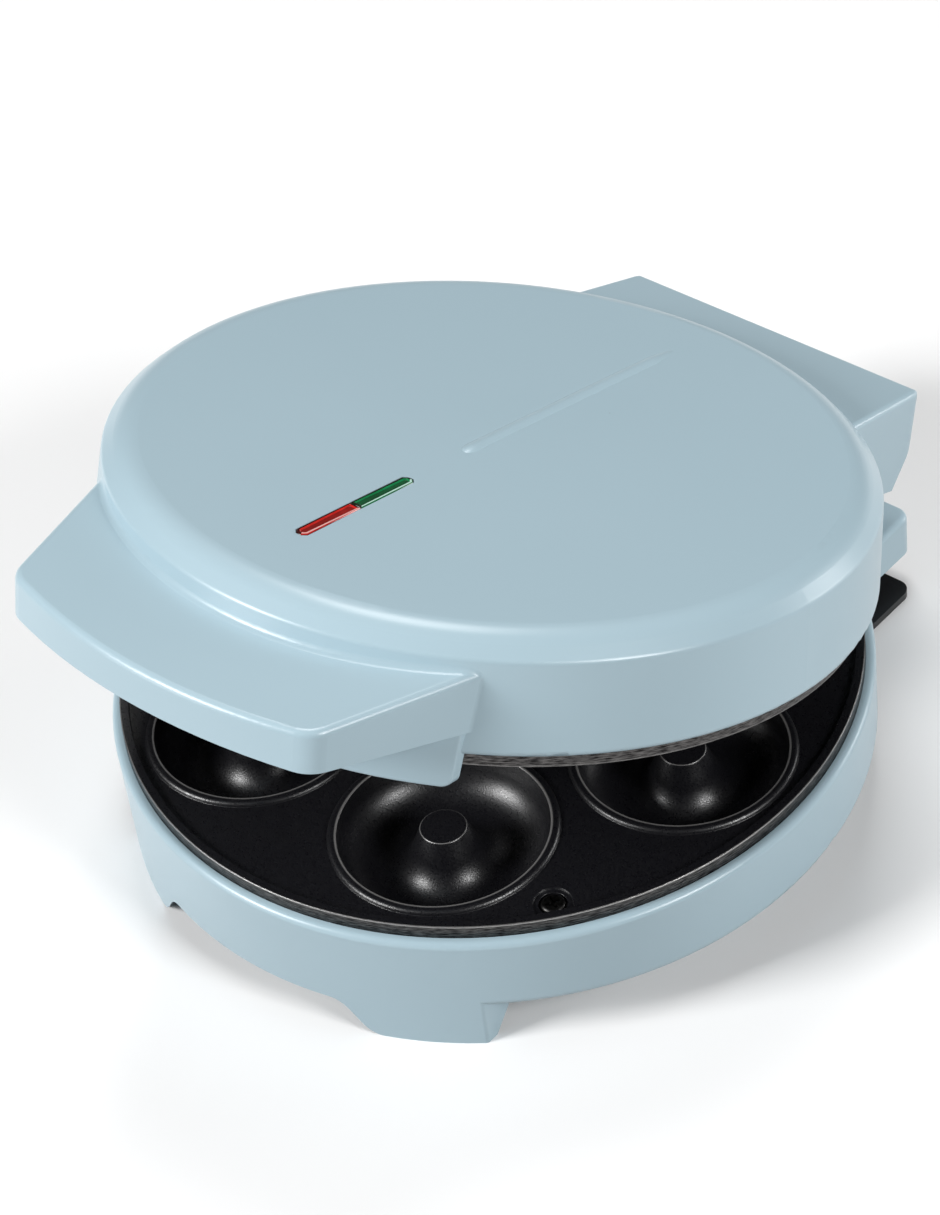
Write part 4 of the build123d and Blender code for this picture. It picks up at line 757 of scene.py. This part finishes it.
def mould_lens(name, node, finish, outer_y, joint_y):
    half, corner, top_z, low_z = 0.00205, 0.0013, 0.0855, 0.0812
    bevel, border, slope, tray = 0.00032, 0.00062, 0.00042, 0.00040
    right_band, painted_tray_light, base_band, edge_round = 0.0014, 0.45, 0.001, 0.00006
    inward = corner if joint_y > outer_y else -corner
    outline = [
        (half, joint_y), (-half, joint_y), (-half, outer_y + inward), (corner - half, outer_y),
        (half - corner, outer_y), (half, outer_y + inward)]
    count = len(outline)
    shaped = bmesh.new()
    painted_facet_light = shaped.faces.layers.float.new("painted_facet_light")
    base = [shaped.verts.new((x, y, low_z)) for x, y in outline]
    crown = [shaped.verts.new((x, y, top_z - bevel)) for x, y in outline]
    shaped.faces.new(base)
    lid_face = shaped.faces.new(crown)
    for n in range(count):
        beyond = (n + 1) % count
        shaped.faces.new((base[n], base[beyond], crown[beyond], crown[n]))
    bmesh.ops.recalc_face_normals(shaped, faces=shaped.faces)
    # Painted light and shade of each ring of facets, on its right-hand side and elsewhere: the bevel and the
    # border are painted bright on the right and dark elsewhere, and the tray's slope is painted the other way
    # round
    for inset, lift, right, elsewhere in (
            (bevel, bevel, 0.75, 0.06), (border, 0, 1.8, 0.06), (slope, -tray, 0.12, 1.0)):
        sides = bmesh.ops.inset_individual(shaped, faces=[lid_face], thickness=inset, depth=lift)["faces"]
        for side in sides:
            side[painted_facet_light] = right if side.calc_center_median().x > half - right_band else elsewhere
    # The tray's floor is painted at a middle light
    lid_face[painted_facet_light] = painted_tray_light
    corners = [
        e for e in shaped.edges
        if e.calc_face_angle(0) > math.radians(20) and e.verts[0].co.z > low_z + base_band]
    bmesh.ops.bevel(
        shaped, geom=corners, offset=edge_round, offset_type="OFFSET", segments=2, profile=0.5,
        affect="EDGES", clamp_overlap=True)
    shaped.transform(lid_stand)
    piece_of(shaped, name, finish, "lid", node)


lens_front_y, lens_joint_y, lens_back_y, lens_gap = -0.0857, -0.06335, -0.0410, 0.00015
red_plastic = tinted_lens(
    "red_lens_plastic", shade=(0.62, 0.030, 0.022), deep_shade=(0.48, 0.016, 0.012),
    painted_highlight_shade=(0.85, 0.45, 0.42))
mould_lens(
    "red_indicator_lens", "red_lens", red_plastic,
    outer_y=lens_front_y + lens_gap, joint_y=lens_joint_y - lens_gap)
green_plastic = tinted_lens(
    "green_lens_plastic", shade=(0.010, 0.22, 0.075), deep_shade=(0.005, 0.15, 0.045),
    painted_highlight_shade=(0.55, 0.80, 0.70))
mould_lens(
    "green_indicator_lens", "green_lens", green_plastic,
    outer_y=lens_back_y - lens_gap, joint_y=lens_joint_y + lens_gap)


def lamp_glass(name):
    finish, made, links, shader, place = new_finish(name)
    ripple_scale = 600.0
    ripple = grain_of(made, links, place, ripple_scale)
    clear = tint(made, links, ripple, (0.86, 0.88, 0.88), (0.94, 0.95, 0.95))
    links.new(clear, shader.inputs["Base Color"])
    links.new(spread(made, links, ripple, 0.02, 0.06), shader.inputs["Roughness"])
    shader.inputs["Transmission Weight"].default_value = 0.9
    shader.inputs["IOR"].default_value = 1.5
    return finish


dress(lamp_glass("lamp_glass"), "red_lamp", "green_lamp")
dress(black_plastic, "lamp_holder")
dress(zinc_plate, "lamp_holder_screws")


# ---- Studio ----
# A plain pale floor under the feet, in a room that is white to the camera and dim to the object.
# Five soft lights stand round it: front left, low in front, right, and high and low at the back.

scene = bpy.context.scene
scene.view_settings.view_transform = "Standard"

floor_half = 6
floor_corners = [(x * floor_half, y * floor_half, 0) for x, y in ((-1, -1), (1, -1), (1, 1), (-1, 1))]
floor_mesh = bpy.data.meshes.new("floor")
floor_mesh.from_pydata(floor_corners, [], [(0, 1, 2, 3)])
floor = bpy.data.objects.new("floor", floor_mesh)
scene.collection.objects.link(floor)
paper, made, links, shader, _ = new_finish("floor_paper")
maths = wire_maths(made, links)
sight = put(made, "ShaderNodeLightPath").outputs
# Pale where it is seen, also in a reflection, and darker where it only throws light back
mirrored = maths("MAXIMUM", sight["Is Camera Ray"], sight["Is Glossy Ray"])
seen = maths("MAXIMUM", mirrored, sight["Is Transmission Ray"])
links.new(tint(made, links, seen, (0.34, 0.34, 0.34), (0.93, 0.93, 0.93)), shader.inputs["Base Color"])
shader.inputs["Roughness"].default_value = 0.9
shader.inputs["Specular IOR Level"].default_value = 0.0
floor_mesh.materials.append(paper)

world = bpy.data.worlds.new("studio")
scene.world = world
world.use_nodes = True
made, links = world.node_tree.nodes, world.node_tree.links
sky = made["Background"]
sky.inputs["Color"].default_value = (1, 1, 1, 1)
sight = put(made, "ShaderNodeLightPath").outputs
seen = wire_maths(made, links)("MAXIMUM", sight["Is Camera Ray"], sight["Is Transmission Ray"])
dim_room, white_room = 0.03, 1.0
links.new(spread(made, links, seen, dim_room, white_room, 0.0, 1.0), sky.inputs["Strength"])


# A light aimed at the object; the bearing is in degrees from the front, turning to the right
def softbox(name, bearing, height_angle, watts):
    width, height, distance, aim = 0.7, 0.9, 2.3, Vector((0, 0, 0.06))
    bearing, height_angle = math.radians(bearing), math.radians(height_angle)
    lamp = bpy.data.lights.new(name, "AREA")
    lamp.shape = "RECTANGLE"
    lamp.size = width
    lamp.size_y = height
    lamp.energy = watts
    out = Vector((
        math.sin(bearing) * math.cos(height_angle), -math.cos(bearing) * math.cos(height_angle),
        math.sin(height_angle)))
    holder = bpy.data.objects.new(name, lamp)
    holder.location = aim + distance * out
    holder.rotation_euler = (-out).to_track_quat("-Z", "Y").to_euler()
    scene.collection.objects.link(holder)


softbox("front_left_softbox", bearing=-30, height_angle=32, watts=51)
softbox("low_front_softbox", bearing=-30, height_angle=5, watts=7)
softbox("right_softbox", bearing=90, height_angle=32, watts=36)
softbox("high_back_softbox", bearing=-142, height_angle=62, watts=19)
softbox("low_back_softbox", bearing=150, height_angle=5, watts=15)

camera = bpy.data.objects.new("camera", bpy.data.cameras.new("camera"))
scene.collection.objects.link(camera)
scene.camera = camera
turn, tip, roll = math.radians(45.59), math.radians(42.28), math.radians(-7.67)
target, distance = Vector((0, body_axis_y, 0.05)), 0.9583
stand = target + distance * Vector((
    math.sin(turn) * math.cos(tip), -math.cos(turn) * math.cos(tip), math.sin(tip)))
ahead = (target - stand).normalized()
side = ahead.cross(Vector((0, 0, 1))).normalized()
up = side.cross(ahead)
right = side * math.cos(roll) + up * math.sin(roll)
top = up * math.cos(roll) - side * math.sin(roll)
camera.matrix_world = Matrix((
    (right.x, top.x, -ahead.x, stand.x),
    (right.y, top.y, -ahead.y, stand.y),
    (right.z, top.z, -ahead.z, stand.z),
    (0, 0, 0, 1)))
# Focal length and middle of the picture, in dots of a frame this wide and high
frame_width, frame_height, focal_dots, middle_x, middle_y = 940, 1215, 3297, 487.45, 634.86
sensor_width = 36
camera.data.sensor_width = sensor_width
camera.data.lens = focal_dots * sensor_width / frame_height
camera.data.shift_x = (frame_width / 2 - middle_x) / frame_height
camera.data.shift_y = (middle_y - frame_height / 2) / frame_height
